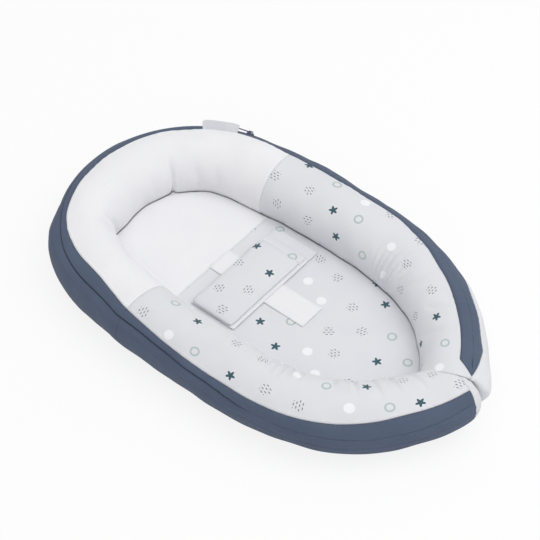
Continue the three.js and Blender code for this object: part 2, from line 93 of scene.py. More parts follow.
# How far the stuffed roll stands out beyond its plain section on the outside, at places along it.
SWELL = (
    (-0.920, -0.0045), (-0.895, -0.0035), (-0.870, -0.0012), (-0.840, 0.0004), (-0.800, 0.0026),
    (-0.770, 0.0048), (-0.710, 0.0074), (-0.684, 0.0066), (-0.658, 0.0056), (-0.634, 0.0038),
    (-0.612, 0.0020), (-0.568, 0.0010), (-0.526, -0.0008), (-0.450, -0.0020), (-0.400, -0.0020),
    (-0.327, 0.0014), (-0.255, -0.0016), (-0.232, -0.0018), (-0.205, -0.0006), (-0.178, 0.0012),
    (-0.150, 0.0050), (-0.125, 0.0050), (-0.100, 0.0), (-0.080, -0.0020), (0.200, -0.0030),
    (0.280, 0.0010), (0.336, 0.0053), (0.375, 0.0074), (0.414, 0.0079), (0.467, 0.0072),
    (0.515, 0.0080), (0.560, 0.0050), (0.626, 0.0034), (0.663, 0.0004), (0.706, 0.0036),
    (0.750, 0.0032), (0.800, 0.0026), (0.835, 0.0050), (0.860, 0.0085),
)

# Seams: pairs of a place along the roll and the seam's angle round the section there, in degrees.
UPPER_SEAM = (
    (-0.920, 54), (-0.834, 53), (-0.800, 53), (-0.769, 49), (-0.715, 45), (-0.668, 43), (-0.626, 42),
    (-0.555, 43), (-0.521, 43), (-0.487, 44), (-0.451, 46), (-0.410, 49), (-0.330, 58), (-0.290, 64),
    (-0.249, 69), (-0.225, 68), (-0.203, 65), (-0.151, 63), (-0.100, 61), (0.000, 65), (0.255, 61),
    (0.317, 59), (0.372, 62), (0.449, 62), (0.531, 59), (0.565, 62), (0.599, 68), (0.635, 72),
    (0.673, 75), (0.713, 80), (0.754, 83), (0.840, 84), (0.860, 86),
)
ZIP_SEAM = (
    (-0.919, 30), (-0.747, 16), (-0.575, 24), (-0.400, 37), (-0.255, 46), (0.000, 47), (0.255, 47),
    (0.575, 44), (0.717, 58), (0.859, 64),
)
LOWER_SEAM = ((0.255, -58), (0.575, -20), (0.717, 40), (0.859, 41))
SEAM_EASE = (-0.016, -0.008, 0.0, 0.008, 0.016)
INNER_SEAM = math.radians(245)
TAPER_UPPER_START = 0.849
TAPER_LOWER_START = 0.817
TAPER_END = 0.8720
TAPER_ANGLE = math.radians(62)
LEFT_PRINT = 0.338
RIGHT_PRINT = 0.318
PRINT_EDGE_Y = 0.112
CLOTH = 0.0012
STRIP_FOOT_Y = -0.089

# Zip: its two ends, its slit's half widths along it and beyond it, the stretch that the slider runs on, and
# where the cloth keeps calm for the slider: the run beyond that stretch, and from the zip outwards.
ZIP_RIGHT_END = HEAD_RADIUS * math.radians(80)
ZIP_LEFT_END = -0.588
ZIP_OPEN = 0.0009
ZIP_SHUT = 0.00005
ZIP_PITCH = 0.0026
SLIDER_RUN = (-0.300, 0.262)
CALM_RUN = 0.03
CALM_WIDTH = (0.0065, 0.017)

# The frame's pieces are centred over the origin, and the plan above isn't: the loop strip shows by how much.
strip_low, strip_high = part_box("loop_strip")
SHIFT = Vector(((strip_low.x + strip_high.x) / 2, strip_low.y - STRIP_FOOT_Y, 0))

# The end faces bear on the backs of their fastening discs.
hook_low, hook_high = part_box("left_hook_disc")
_, loop_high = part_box("right_loop_disc")
DISC_MIDDLE = (hook_low + hook_high) / 2
DISC_BACKS = {LEFT: hook_low.x, RIGHT: loop_high.x}
LEFT_LIMIT = SHIFT.x + JOIN_X - JOIN_GAP

# Round a disc: where its seat fades out, how near a face is drawn to it, and where the ends' crease narrows.
SEAT_RUN = (0.0185, 0.028)
SEAT_REACH = (0.008, 0.016)
CREASE_RUN = (0.018, 0.030)


def smooth(values, low, high):
    """An eased step from 0 below low to 1 above high."""
    t = np.clip((values - low) / (high - low), 0, 1)
    return t * t * (3 - 2 * t)


def window(values, low, risen, falling, high):
    """An eased step up from low to risen, and down again from falling to high."""
    return smooth(values, low, risen) * (1 - smooth(values, falling, high))


def hump(values, middle, width):
    return np.exp(-(((values - middle) / width) ** 2))


# Arcs of one side: radius, start heading, centre and the distance along the line where each starts.
ARCS = []
for radius, start in ((HEAD_RADIUS, 0), (SIDE_RADIUS, SHOULDER_HEADING), (FOOT_RADIUS, BEND_HEADING)):
    if ARCS:
        last_radius, last_start, (cx, cy), last_from = ARCS[-1]
        step = last_radius - radius
        centre = (cx + step * math.sin(start), cy + step * math.cos(start))
        begins = last_from + last_radius * (start - last_start)
    else:
        centre, begins = (0, HEAD_APEX_Y - radius), 0
    ARCS.append((radius, start, centre, begins))
SHOULDER = ARCS[1][3]
BEND = ARCS[2][3]


def join_distance(side):
    """Where one side's centreline crosses the joining plane."""
    _, start, (cx, _), begins = ARCS[2]
    heading = math.pi - math.asin((side * JOIN_X - cx) / FOOT_RADIUS)
    return begins + (heading - start) * FOOT_RADIUS


TIPS = {side: join_distance(side) for side in (LEFT, RIGHT)}
DOME_START = {side: TIPS[side] - DOME_RUN[side] for side in (LEFT, RIGHT)}
REACH_END = {side: DOME_START[side] + DOME_LENGTH[side] * math.pi / 2 for side in (LEFT, RIGHT)}
ROLL_LENGTH = REACH_END[LEFT] + REACH_END[RIGHT]


def centreline(distance, side):
    """Place and heading of the roll's centreline at distances from the head's apex."""
    x, y, heading = (np.zeros_like(distance) for _ in range(3))
    for radius, start, (cx, cy), begins in ARCS:
        here = distance >= begins if begins else np.ones_like(distance, bool)
        turn = start + (distance - begins) / radius
        x = np.where(here, cx + radius * np.sin(turn), x)
        y = np.where(here, cy + radius * np.cos(turn), y)
        heading = np.where(here, turn, heading)
    return side * x + SHIFT.x, y + SHIFT.y, heading


def seam(line, place):
    """A seam's angle round the section at signed places along the roll, with its turns eased."""
    places, degrees = np.array(line).T
    plain = np.radians(sum(np.interp(place + step, places, degrees) for step in SEAM_EASE) / len(SEAM_EASE))
    start = np.where(plain > TAPER_ANGLE, TAPER_UPPER_START, TAPER_LOWER_START)
    taper = np.clip((place - start) / (TAPER_END - start), 0, 1)
    return plain * (1 - taper) + TAPER_ANGLE * taper


def seam_turn(line, place, angle):
    """How far round the section an angle is from a seam, either way."""
    return np.abs((angle - seam(line, place) + math.pi) % (2 * math.pi) - math.pi)


def by_side(place, values):
    """The left or the right one of two values, at signed places."""
    return np.where(place < 0, values[LEFT], values[RIGHT])


def half_width(distance, side):
    along = np.clip((distance - SHOULDER) / (by_side(side, TIPS) - SHOULDER), 0, 1)
    return HEAD_HALF_WIDTH + (FOOT_HALF_WIDTH - HEAD_HALF_WIDTH) * along


def zip_calm(place, angle):
    """1 where the slider passes, so that the cloth keeps to its plain form there, and 0 away from it."""
    start, stop = SLIDER_RUN
    along = window(place, start - CALM_RUN, start, stop, stop + CALM_RUN)
    return along * (1 - smooth(seam_turn(ZIP_SEAM, place, angle) * HEAD_HALF_WIDTH, *CALM_WIDTH))


def at_least(values, low, softness):
    """Values kept above a lower limit, with a rounded turn where they meet it."""
    room = values - low
    return low + 0.5 * (room + np.sqrt(room * room + softness * softness))


def at_most(values, high, softness):
    return -at_least(-values, -high, softness)


def dome_fullness(outward):
    """Exponent of the left dome's outline, fuller outside: outward runs from -1 inside to 1 outside."""
    return LEFT_FULLNESS + OUTER_FULLNESS * outward


def disc_distance(points):
    """Distance of points from the line through the middles of the discs."""
    return np.hypot(points[..., 1] - DISC_MIDDLE.y, points[..., 2] - DISC_MIDDLE.z)


def seat_disc(points, face_x):
    """Draws an end face flat against the back of its disc."""
    away = face_x - points[..., 0]
    near = (1 - smooth(disc_distance(points), *SEAT_RUN)) * (1 - smooth(np.abs(away), *SEAT_REACH))
    points[..., 0] += away * near
    return points


def mould_round_left(points):
    """Pushes the right end's points out of the left end's dome, which it wraps."""
    x, y, heading = centreline(np.array(TIPS[LEFT]), LEFT)
    ahead = np.array([-np.cos(heading), -np.sin(heading)])
    outward = np.array([-np.sin(heading), np.cos(heading)])
    offset = points[..., :2] - np.array([x, y])
    along, across = offset @ ahead, offset @ outward
    rise = points[..., 2] - (FOOT_HALF_HEIGHT - FLOOR_CUT)
    radius = np.hypot(across / FOOT_HALF_WIDTH, rise / FOOT_HALF_HEIGHT)
    fullness = dome_fullness(np.clip(across / FOOT_HALF_WIDTH / np.maximum(radius, 1e-3), -1, 1))
    bulge = (1 - np.clip(radius, 0, 1) ** fullness) ** (1 / fullness)
    face = DOME_LENGTH[LEFT] * bulge - DOME_RUN[LEFT]
    plane = (LEFT_LIMIT - x - across * outward[0]) / ahead[0]
    face = at_most(face, plane, JOIN_SOFTNESS)
    gap = JOIN_CREASE + (2 * JOIN_GAP - JOIN_CREASE) * (1 - smooth(disc_distance(points), *CREASE_RUN))
    pushed = at_least(along, face + gap, MOULD_SOFTNESS) - along
    points[..., :2] += pushed[..., None] * ahead
    return seat_disc(points, DISC_BACKS[RIGHT])


def roll_form(place, angle):
    """Points of the plain stuffed roll at signed places along it and angles round it."""
    side = np.where(place < 0, LEFT, RIGHT)
    overhang = OVERHANG[0] + (OVERHANG[1] - OVERHANG[0]) * smooth(np.sin(angle), *OVERHANG_RISE)
    start = np.where(place < 0, DOME_START[LEFT], DOME_START[RIGHT] + overhang)
    end = by_side(place, REACH_END)
    pole = by_side(place, DOME_START) + by_side(place, DOME_LENGTH)
    turn = np.clip((np.abs(place) - start) / (end - start), 0, 1) * math.pi / 2
    fullness = np.where(place < 0, dome_fullness(np.cos(angle)), RIGHT_FULLNESS)
    rim = (np.cos(turn) ** fullness + np.sin(turn) ** fullness) ** (-1 / fullness)
    distance = np.where(np.abs(place) < start, np.abs(place), start + (pole - start) * rim * np.sin(turn))
    x, y, heading = centreline(distance, side)
    full = half_width(distance, side)
    scale = rim * np.cos(turn)
    swell = np.interp(place, *np.array(SWELL).T) * (0.5 + 0.5 * np.cos(angle)) ** 1.5
    swell = swell * (1 - zip_calm(place, angle))
    reach = scale * (full * np.cos(angle) + swell)
    z = full * HEIGHT_SHARE * (1 + scale * np.sin(angle)) - FLOOR_CUT
    points = np.stack([x + side * reach * np.sin(heading), y + reach * np.cos(heading), z], -1)
    flattened = points.copy()
    flattened[..., 0] = at_most(points[..., 0], LEFT_LIMIT, JOIN_SOFTNESS)
    flattened = seat_disc(flattened, DISC_BACKS[LEFT])
    pressed = np.where((place < 0)[..., None], flattened, mould_round_left(points.copy()))
    near_tip = smooth(distance, TIPS[RIGHT] - TIP_RUN[0], TIPS[RIGHT] - TIP_RUN[1])[..., None]
    points = points * (1 - near_tip) + pressed * near_tip
    points[..., 2] = np.maximum(points[..., 2], FLOOR_CLEARANCE)
    return points


# The roll's surface as a table of points and normals, which every cover piece samples.
TABLE_STEP = 0.004
TABLE_SIDES = 96


def table_axes(step, sides):
    """Places and angles of a table's rows and columns."""
    places = np.linspace(-REACH_END[LEFT], REACH_END[RIGHT], int(ROLL_LENGTH / step) + 1)
    angles = np.arange(sides) / sides * 2 * math.pi
    return np.meshgrid(places, angles, indexing="ij")


def cubic_weights(f):
    return (
        -0.5 * f + f * f - 0.5 * f**3,
        1 - 2.5 * f * f + 1.5 * f**3,
        0.5 * f + 2 * f * f - 1.5 * f**3,
        -0.5 * f * f + 0.5 * f**3,
    )


def read_table(table, place, angle):
    """Smooth values of a table that closes round the roll, at places and angles."""
    rows, sides = table.shape[:2]
    row = np.clip((place + REACH_END[LEFT]) / ROLL_LENGTH * (rows - 1), 0, rows - 1)
    column = (angle / (2 * math.pi) * sides) % sides
    i, j = np.floor(row).astype(int), np.floor(column).astype(int)
    total = np.zeros(place.shape + table.shape[2:])
    for a, along in enumerate(cubic_weights(row - i)):
        near_row = np.clip(i + a - 1, 0, rows - 1)
        for b, around in enumerate(cubic_weights(column - j)):
            total += (along * around)[..., None] * table[near_row, (j + b - 1) % sides]
    return total


def unit(vectors):
    return vectors / np.maximum(np.linalg.norm(vectors, axis=-1, keepdims=True), 1e-12)


def table_normals(points):
    """Outward normals of a table of points whose columns close on themselves."""
    along = np.gradient(points, axis=0)
    around = np.roll(points, -1, 1) - np.roll(points, 1, 1)
    normals = np.cross(along, around)
    middles = points.mean(1, keepdims=True)
    normals = unit(normals * np.sign((normals * (points - middles)).sum((1, 2), keepdims=True)))
    for tip, neighbour in ((slice(None, 3), 3), (slice(-3, None), -4)):
        normals[tip] = unit(normals[neighbour].mean(0))
    return normals


def sample(place, angle, lift=0.0):
    """Points on the roll's surface, lifted off it along its normals."""
    values = read_table(ROLL, place, angle)
    normal = unit(values[..., 3:])
    points = values[..., :3] + normal * np.asarray(lift)[..., None]
    points[..., 2] = np.maximum(points[..., 2], FLOOR_CLEARANCE)
    return points, normal


# Folds: place along the roll, angles where a fold starts and ends, its width and depth, and its slant.
FOLDS = [
    (-0.106, 108, 226, 0.0045, 0.0050, 0.003),
    (0.100, 112, 226, 0.0040, 0.0034, -0.003),
    (0.163, 128, 196, 0.0095, 0.0012, 0.010),
    (-0.152, 122, 190, 0.0095, 0.0022, -0.008),
    (0.046, 140, 200, 0.0090, 0.0014, 0.004),
    (-0.030, 135, 195, 0.0110, 0.0012, -0.006),
    (0.215, 140, 190, 0.0090, 0.0012, 0.006),
    (0.566, 118, 186, 0.0022, 0.0018, 0.013),
    (0.577, 106, 188, 0.0026, 0.0028, 0.010),
    (0.588, 112, 190, 0.0026, 0.0032, 0.008),
    (0.600, 98, 192, 0.0030, 0.0036, 0.006),
    (0.612, 84, 190, 0.0030, 0.0036, 0.003),
    (0.624, 92, 184, 0.0034, 0.0026, -0.002),
    (0.640, 110, 178, 0.0034, 0.0018, -0.005),
    (0.668, 92, 150, 0.0060, 0.0018, -0.012),
    (0.742, 80, 128, 0.0050, 0.0022, -0.016),
    (0.785, 96, 160, 0.0060, 0.0024, -0.010),
    (-0.570, 100, 186, 0.0026, 0.0028, -0.013),
    (-0.582, 88, 186, 0.0026, 0.0038, -0.012),
    (-0.594, 84, 188, 0.0028, 0.0042, -0.010),
    (-0.607, 82, 190, 0.0030, 0.0044, -0.006),
    (-0.621, 86, 188, 0.0030, 0.0038, -0.002),
    (-0.640, 82, 180, 0.0036, 0.0032, 0.004),
    (-0.700, 84, 170, 0.0044, 0.0030, 0.010),
    (-0.735, 78, 172, 0.0040, 0.0036, 0.012),
    (-0.771, 74, 172, 0.0036, 0.0038, 0.014),
    (-0.803, 76, 172, 0.0036, 0.0036, 0.015),
    (-0.843, 74, 168, 0.0036, 0.0034, 0.016),
]

# A fold's section: where its shoulders stand, in widths from its valley, their width and height, and its
# valley's sharpness. It deepens over a first share of its length, and fades over a last share and some
# degrees more.
SHOULDER_PLACE = 2.2
SHOULDER_WIDTH = 1.1
SHOULDER_HEIGHT = 0.3
VALLEY_SHARPNESS = 1.3
DEEPEN_SHARE = 0.55
FADE_SHARE = 0.2
FADE_TURN = 8

# Where the mattress's head corners push into the roll: place, depth, width and the angles where each deepens.
CORNER_HOLLOWS = (
    (-0.106, 0.0065, 0.014, 112, 165),
    (0.100, 0.0045, 0.013, 112, 165),
    (-0.085, 0.0025, 0.050, 112, 165),
    (-0.128, 0.0110, 0.034, 88, 142),
)
HOLLOW_END = (222, 250)

# Slow waves of a hand-stuffed roll: height, turns along it and round it, and where each starts.
WAVES = (
    (0.0010, 21, 2, 0.4),
    (0.0007, 37, -3, 1.9),
    (0.0004, 71, 4, 2.7),
    (0.0003, 113, -5, 0.8),
)
PUCKER_RUN = 0.009


def fold_lift(place, angle):
    """Height that the folds and hollows of the cloth add to the roll's surface."""
    total = np.zeros_like(place)
    turn = np.degrees(angle)
    for at, low, high, width, depth, slant in FOLDS:
        length = high - low
        bend = (turn - (low + high) / 2) / length
        across = np.abs((place - at - slant * bend - 0.5 * slant * bend * bend) / width)
        shown = window(turn, low, low + DEEPEN_SHARE * length, high - FADE_SHARE * length, high + FADE_TURN)
        shoulders = SHOULDER_HEIGHT * hump(across, SHOULDER_PLACE, SHOULDER_WIDTH)
        total += depth * shown * (shoulders - np.exp(-across**VALLEY_SHARPNESS))
    for at, depth, width, low, high in CORNER_HOLLOWS:
        total -= depth * window(turn, low, high, *HOLLOW_END) * np.exp(-np.abs((place - at) / width) ** 1.5)
    return total


def soft_lift(place, angle):
    """Slow unevenness of a hand-stuffed roll."""
    uneven = sum(height * np.sin(place * along + angle * around + at) for height, along, around, at in WAVES)
    return uneven * (1 - zip_calm(place, angle))


def cloth_lift(place, angle):
    return fold_lift(place, angle) + soft_lift(place, angle)


def pucker(place, run, pitch, seed):
    """Small gathers along a seam, fading with the run from it."""
    gathers = np.sin(place / pitch * 2 * math.pi + 3 * np.sin(place * 23 + seed))
    strength = 0.5 + 0.5 * np.sin(place * 41 + seed * 2)
    return np.exp(-run / PUCKER_RUN) * (gathers * strength)


def new_object(name, data):
    made = bpy.data.objects.new(name, data)
    bpy.context.scene.collection.objects.link(made)
    return made


def take_mesh(name, bm):
    """Turns a finished bmesh into a piece with smooth faces."""
    mesh = bpy.data.meshes.new(name)
    bm.to_mesh(mesh)
    bm.free()
    mesh.shade_smooth()
    return new_object(name, mesh)


@contextmanager
def editing(piece):
    """A piece's mesh, open to bmesh operators and written back after them."""
    bm = bmesh.new()
    bm.from_mesh(piece.data)
    yield bm
    bm.to_mesh(piece.data)
    bm.free()


def read_all(items, key, width, kind=float):
    """One value of each item, as rows of a width."""
    values = np.empty(len(items) * width, kind)
    items.foreach_get(key, values)
    return values.reshape(-1, width)


def read_points(mesh):
    return read_all(mesh.vertices, "co", 3)


def move_points(piece, points):
    piece.data.vertices.foreach_set("co", points.ravel())
    piece.data.update()


def vertex_index(mesh):
    return read_all(mesh.loops, "vertex_index", 1, int)[:, 0]


def write_uv(mesh, uv):
    """Writes one texture place for each vertex to the layer that the cloth's pattern follows."""
    layer = mesh.uv_layers.get("cloth") or mesh.uv_layers.new(name="cloth")
    layer.data.foreach_set("uv", uv[vertex_index(mesh)].astype(np.float32).ravel())


def read_uv(mesh):
    """The texture place of each vertex."""
    uv = np.zeros((len(mesh.vertices), 2))
    uv[vertex_index(mesh)] = read_all(mesh.uv_layers["cloth"].data, "uv", 2)
    return uv


def plan_uv(piece):
    """Lets the cloth's pattern follow the piece as seen from above."""
    write_uv(piece.data, read_points(piece.data)[:, :2])


def grid_piece(name, columns, rows, place, weld=False):
    """A grid whose corners run from 0 to 1 both ways, each vertex put in place by a function of the two."""
    bm = bmesh.new()
    bmesh.ops.create_grid(bm, x_segments=columns, y_segments=rows, size=0.5)
    piece = take_mesh(name, bm)
    flat = read_points(piece.data) + 0.5
    points, outward, uv = place(flat[:, 0], flat[:, 1])
    move_points(piece, points)
    write_uv(piece.data, uv)
    if (read_all(piece.data.vertices, "normal", 3) * outward).sum() < 0:
        piece.data.flip_normals()
    if weld:
        with editing(piece) as bm:
            bmesh.ops.remove_doubles(bm, verts=bm.verts, dist=1e-6)
            bmesh.ops.dissolve_degenerate(bm, edges=bm.edges, dist=1e-7)
    return piece


def thicken(piece, thickness=CLOTH):
    wall = piece.modifiers.new("cloth_thickness", "SOLIDIFY")
    wall.thickness = thickness
    wall.offset = -1
    return piece


def turn_outward(piece):
    with editing(piece) as bm:
        bmesh.ops.recalc_face_normals(bm, faces=bm.faces)
    piece.data.shade_smooth()


def open_edges(bm):
    return [edge for edge in bm.edges if edge.is_boundary]


def cut(bm, point, normal, **options):
    """Cuts a bmesh by a plane."""
    everything = [*bm.verts, *bm.edges, *bm.faces]
    bmesh.ops.bisect_plane(bm, geom=everything, dist=1e-7, plane_co=point, plane_no=normal, **options)


def round_edges(bm, edges, offset, segments):
    bmesh.ops.bevel(
        bm, geom=edges, offset=offset, segments=segments, affect="EDGES", profile=0.5, material=-1
    )


def axes_matrix(*axes):
    """The turn that lays X, Y and Z along three axes."""
    return Matrix(axes).transposed().to_4x4()


def add_bead(bm, middle, turned, halves):
    """Adds an ellipsoid: its middle, its turn, and half its size each way."""
    matrix = Matrix.Translation(middle) @ turned @ Matrix.Diagonal((*halves, 1))
    bmesh.ops.create_icosphere(bm, subdivisions=1, radius=1.0, matrix=matrix)


# Shader node groups that the materials share. Each takes a vector and some numbers.
def new_group(name, numbers, outputs):
    group = bpy.data.node_groups.new(name, "ShaderNodeTree")
    group.interface.new_socket(name="Vector", in_out="INPUT", socket_type="NodeSocketVector")
    for label, value in numbers.items():
        socket = group.interface.new_socket(name=label, in_out="INPUT", socket_type="NodeSocketFloat")
        socket.default_value = value
    for label in outputs:
        group.interface.new_socket(name=label, in_out="OUTPUT", socket_type="NodeSocketFloat")
    return group, group.nodes.new("NodeGroupInput"), group.nodes.new("NodeGroupOutput")


def feed(tree, socket, value):
    if isinstance(value, bpy.types.NodeSocket):
        tree.links.new(value, socket)
    else:
        socket.default_value = value


def maths(tree, operation, *values):
    node = tree.nodes.new("ShaderNodeMath")
    node.operation = operation
    for socket, value in zip(node.inputs, values):
        feed(tree, socket, value)
    return node.outputs[0]


def eased_step(tree, value, low, high):
    node = tree.nodes.new("ShaderNodeMapRange")
    node.interpolation_type = "SMOOTHSTEP"
    for socket, given in zip(node.inputs, (value, low, high, 0.0, 1.0)):
        feed(tree, socket, given)
    return node.outputs["Result"]


def noise(tree, vector, scale, detail=2.0):
    node = tree.nodes.new("ShaderNodeTexNoise")
    feed(tree, node.inputs["Vector"], vector)
    node.inputs["Scale"].default_value = scale
    node.inputs["Detail"].default_value = detail
    return node.outputs["Fac"]


def mix_colour(tree, factor, first, second):
    node = tree.nodes.new("ShaderNodeMix")
    node.data_type = "RGBA"
    for label, value in (("Factor", factor), ("A", first), ("B", second)):
        feed(tree, node.inputs[label], value)
    return node.outputs["Result"]


def srgb(red, green, blue):
    """A colour as it looks on screen, from 0 to 255, turned to the linear values that nodes take."""
    values = []
    for value in (red, green, blue):
        share = value / 255
        values.append(share / 12.92 if share <= 0.04045 else ((share + 0.055) / 1.055) ** 2.4)
    return (*values, 1.0)


def build_weave():
    """Plain weave: two sets of threads that pass over and under each other."""
    group, given, out = new_group("plain_weave", {"Threads": 1500.0}, ("Height", "Tone"))
    parts = group.nodes.new("ShaderNodeSeparateXYZ")
    group.links.new(given.outputs["Vector"], parts.inputs[0])
    turns = maths(group, "MULTIPLY", given.outputs["Threads"], math.pi)
    across = maths(group, "SINE", maths(group, "MULTIPLY", parts.outputs[0], turns))
    along = maths(group, "SINE", maths(group, "MULTIPLY", parts.outputs[1], turns))
    over = maths(group, "MULTIPLY", across, along)
    height = maths(group, "ADD", maths(group, "ABSOLUTE", over), maths(group, "MULTIPLY", over, 0.35))
    slub = noise(group, given.outputs["Vector"], 260.0, 3.0)
    group.links.new(maths(group, "MULTIPLY_ADD", slub, 0.8, height), out.inputs["Height"])
    drift = noise(group, given.outputs["Vector"], 14.0, 3.0)
    drift = maths(group, "MULTIPLY", drift, 0.65)
    group.links.new(maths(group, "MULTIPLY_ADD", slub, 0.35, drift), out.inputs["Tone"])
    return group


DASH_STEP = (0.0074, 0.0046)


def build_scatter():
    """A generic scatter print of small stars, rings, dots and dashes, one to a cell of a staggered grid."""
    sizes = {"Cell": 0.060, "Motif": 0.0090}
    group, given, out = new_group("scatter_print", sizes, ("Star", "Ring", "Dot", "Dash"))

    def calc(operation, *values):
        return maths(group, operation, *values)

    parts = group.nodes.new("ShaderNodeSeparateXYZ")
    group.links.new(given.outputs["Vector"], parts.inputs[0])
    cell = given.outputs["Cell"]
    row_height = calc("MULTIPLY", cell, 0.8)
    row_place = calc("DIVIDE", parts.outputs[1], row_height)
    row = calc("FLOOR", row_place)
    shift = calc("MULTIPLY", calc("FLOORED_MODULO", row, 2.0), 0.5)
    column_place = calc("ADD", calc("DIVIDE", parts.outputs[0], cell), shift)
    column = calc("FLOOR", column_place)
    cell_id = group.nodes.new("ShaderNodeCombineXYZ")
    group.links.new(column, cell_id.inputs[0])
    group.links.new(row, cell_id.inputs[1])
    chance = group.nodes.new("ShaderNodeTexWhiteNoise")
    chance.noise_dimensions = "2D"
    group.links.new(cell_id.outputs[0], chance.inputs["Vector"])
    wander = group.nodes.new("ShaderNodeSeparateColor")
    group.links.new(chance.outputs["Color"], wander.inputs[0])
    offset_x = calc("MULTIPLY_ADD", wander.outputs[0], 0.36, -0.68)
    offset_y = calc("MULTIPLY_ADD", wander.outputs[1], 0.36, -0.68)
    x = calc("MULTIPLY", calc("ADD", calc("SUBTRACT", column_place, column), offset_x), cell)
    y = calc("MULTIPLY", calc("ADD", calc("SUBTRACT", row_place, row), offset_y), row_height)
    radius = calc("SQRT", calc("ADD", calc("MULTIPLY", x, x), calc("MULTIPLY", y, y)))
    share = calc("DIVIDE", radius, given.outputs["Motif"])
    spin = calc("MULTIPLY", wander.outputs[2], 2 * math.pi)
    angle = calc("ADD", calc("ARCTAN2", y, x), spin)
    order = calc("ADD", calc("MULTIPLY", row, 2.0), calc("MULTIPLY", column, 3.0))
    kind = calc("FLOORED_MODULO", order, 5.0)

    def is_kind(number):
        return calc("COMPARE", kind, float(number), 0.4)

    def inverse(value):
        return calc("SUBTRACT", 1.0, value)

    points = calc("MULTIPLY_ADD", calc("COSINE", calc("MULTIPLY", angle, 5.0)), 0.24, 0.68)
    for label, number, distance, low, high in (
        ("Star", 0, calc("SUBTRACT", share, points), -0.04, 0.04),
        ("Ring", 3, calc("ABSOLUTE", calc("SUBTRACT", share, 0.76)), 0.14, 0.2),
        ("Dot", 1, share, 0.86, 0.98),
    ):
        inside = inverse(eased_step(group, distance, low, high))
        group.links.new(calc("MULTIPLY", inside, is_kind(number)), out.inputs[label])

    cosine, sine = calc("COSINE", spin), calc("SINE", spin)
    turned_x = calc("SUBTRACT", calc("MULTIPLY", x, cosine), calc("MULTIPLY", y, sine))
    turned_y = calc("ADD", calc("MULTIPLY", x, sine), calc("MULTIPLY", y, cosine))
    dash_row = calc("DIVIDE", turned_y, DASH_STEP[1])
    dash_shift = calc("MULTIPLY", calc("FLOORED_MODULO", calc("FLOOR", dash_row), 2.0), 0.5)
    dash_column = calc("ADD", calc("DIVIDE", turned_x, DASH_STEP[0]), dash_shift)
    near_y, near_x = (
        calc("ABSOLUTE", calc("SUBTRACT", calc("FRACT", line), 0.5)) for line in (dash_row, dash_column)
    )
    dash = calc("MULTIPLY", calc("LESS_THAN", near_y, 0.15), calc("LESS_THAN", near_x, 0.28))
    inside = calc("LESS_THAN", share, 1.05)
    either = calc("MAXIMUM", is_kind(2), is_kind(4))
    group.links.new(calc("MULTIPLY", calc("MULTIPLY", dash, inside), either), out.inputs["Dash"])
    return group


WEAVE = build_weave()
SCATTER = build_scatter()


def place_group(tree, group, **values):
    node = tree.nodes.new("ShaderNodeGroup")
    node.node_tree = group
    for label, value in values.items():
        feed(tree, node.inputs[label], value)
    return node


def start_material(name, roughness, metallic=0.0):
    material = bpy.data.materials.new(name)
    material.use_nodes = True
    tree = material.node_tree
    shader = tree.nodes["Principled BSDF"]
    shader.inputs["Roughness"].default_value = roughness
    shader.inputs["Metallic"].default_value = metallic
    return material, tree, shader


def add_bump(tree, shader, height, distance):
    bump = tree.nodes.new("ShaderNodeBump")
    bump.inputs["Distance"].default_value = distance
    feed(tree, bump.inputs["Height"], height)
    tree.links.new(bump.outputs[0], shader.inputs["Normal"])


def cloth_material(name, colour, shade, threads=1700.0, sheen=0.12, printed=None):
    """Woven cloth, plain or printed: its colour drifts a little to its shade, and its threads are raised."""
    material, tree, shader = start_material(name, 0.9)
    shader.inputs["Sheen Weight"].default_value = sheen
    shader.inputs["Sheen Roughness"].default_value = 0.45
    shader.inputs["Specular IOR Level"].default_value = 0.2
    place = tree.nodes.new("ShaderNodeUVMap")
    place.uv_map = "cloth"
    weave = place_group(tree, WEAVE, Vector=place.outputs[0], Threads=threads)
    tone = eased_step(tree, weave.outputs["Tone"], 0.3, 0.7)
    base = mix_colour(tree, tone, colour, shade)
    if printed:
        motifs = place_group(tree, SCATTER, Vector=place.outputs[0])
        for label, ink in printed.items():
            base = mix_colour(tree, motifs.outputs[label], base, ink)
    tree.links.new(base, shader.inputs["Base Color"])
    add_bump(tree, shader, weave.outputs["Height"], 0.00012)
    return material


def painted_material(name, colour, shade, roughness, metallic=0.0):
    """Moulded or painted parts: fine grain, and slight wear in colour and gloss."""
    material, tree, shader = start_material(name, roughness, metallic)
    place = tree.nodes.new("ShaderNodeTexCoord").outputs["Object"]
    wear = noise(tree, place, 75.0)
    tree.links.new(mix_colour(tree, wear, colour, shade), shader.inputs["Base Color"])
    tree.links.new(maths(tree, "MULTIPLY_ADD", wear, 0.2, roughness - 0.1), shader.inputs["Roughness"])
    add_bump(tree, shader, noise(tree, place, 900.0, 3.0), 0.00005)
    return material


def pile_material(name, colour, shade, scale, depth):
    """Short loops, hooks or fibres, as raised cells, with painted shade where each cell sinks towards its
    rim.
    """
    material, tree, shader = start_material(name, 0.9)
    shader.inputs["Sheen Weight"].default_value = 0.3
    place = tree.nodes.new("ShaderNodeTexCoord").outputs["Object"]
    cells = tree.nodes.new("ShaderNodeTexVoronoi")
    cells.inputs["Scale"].default_value = scale
    tree.links.new(place, cells.inputs["Vector"])
    # Painted shade: the colour darkens with the distance from each cell's middle, where the bump sinks.
    tree.links.new(mix_colour(tree, cells.outputs["Distance"], colour, shade), shader.inputs["Base Color"])
    add_bump(tree, shader, maths(tree, "SUBTRACT", 1.0, cells.outputs["Distance"]), depth)
    return material


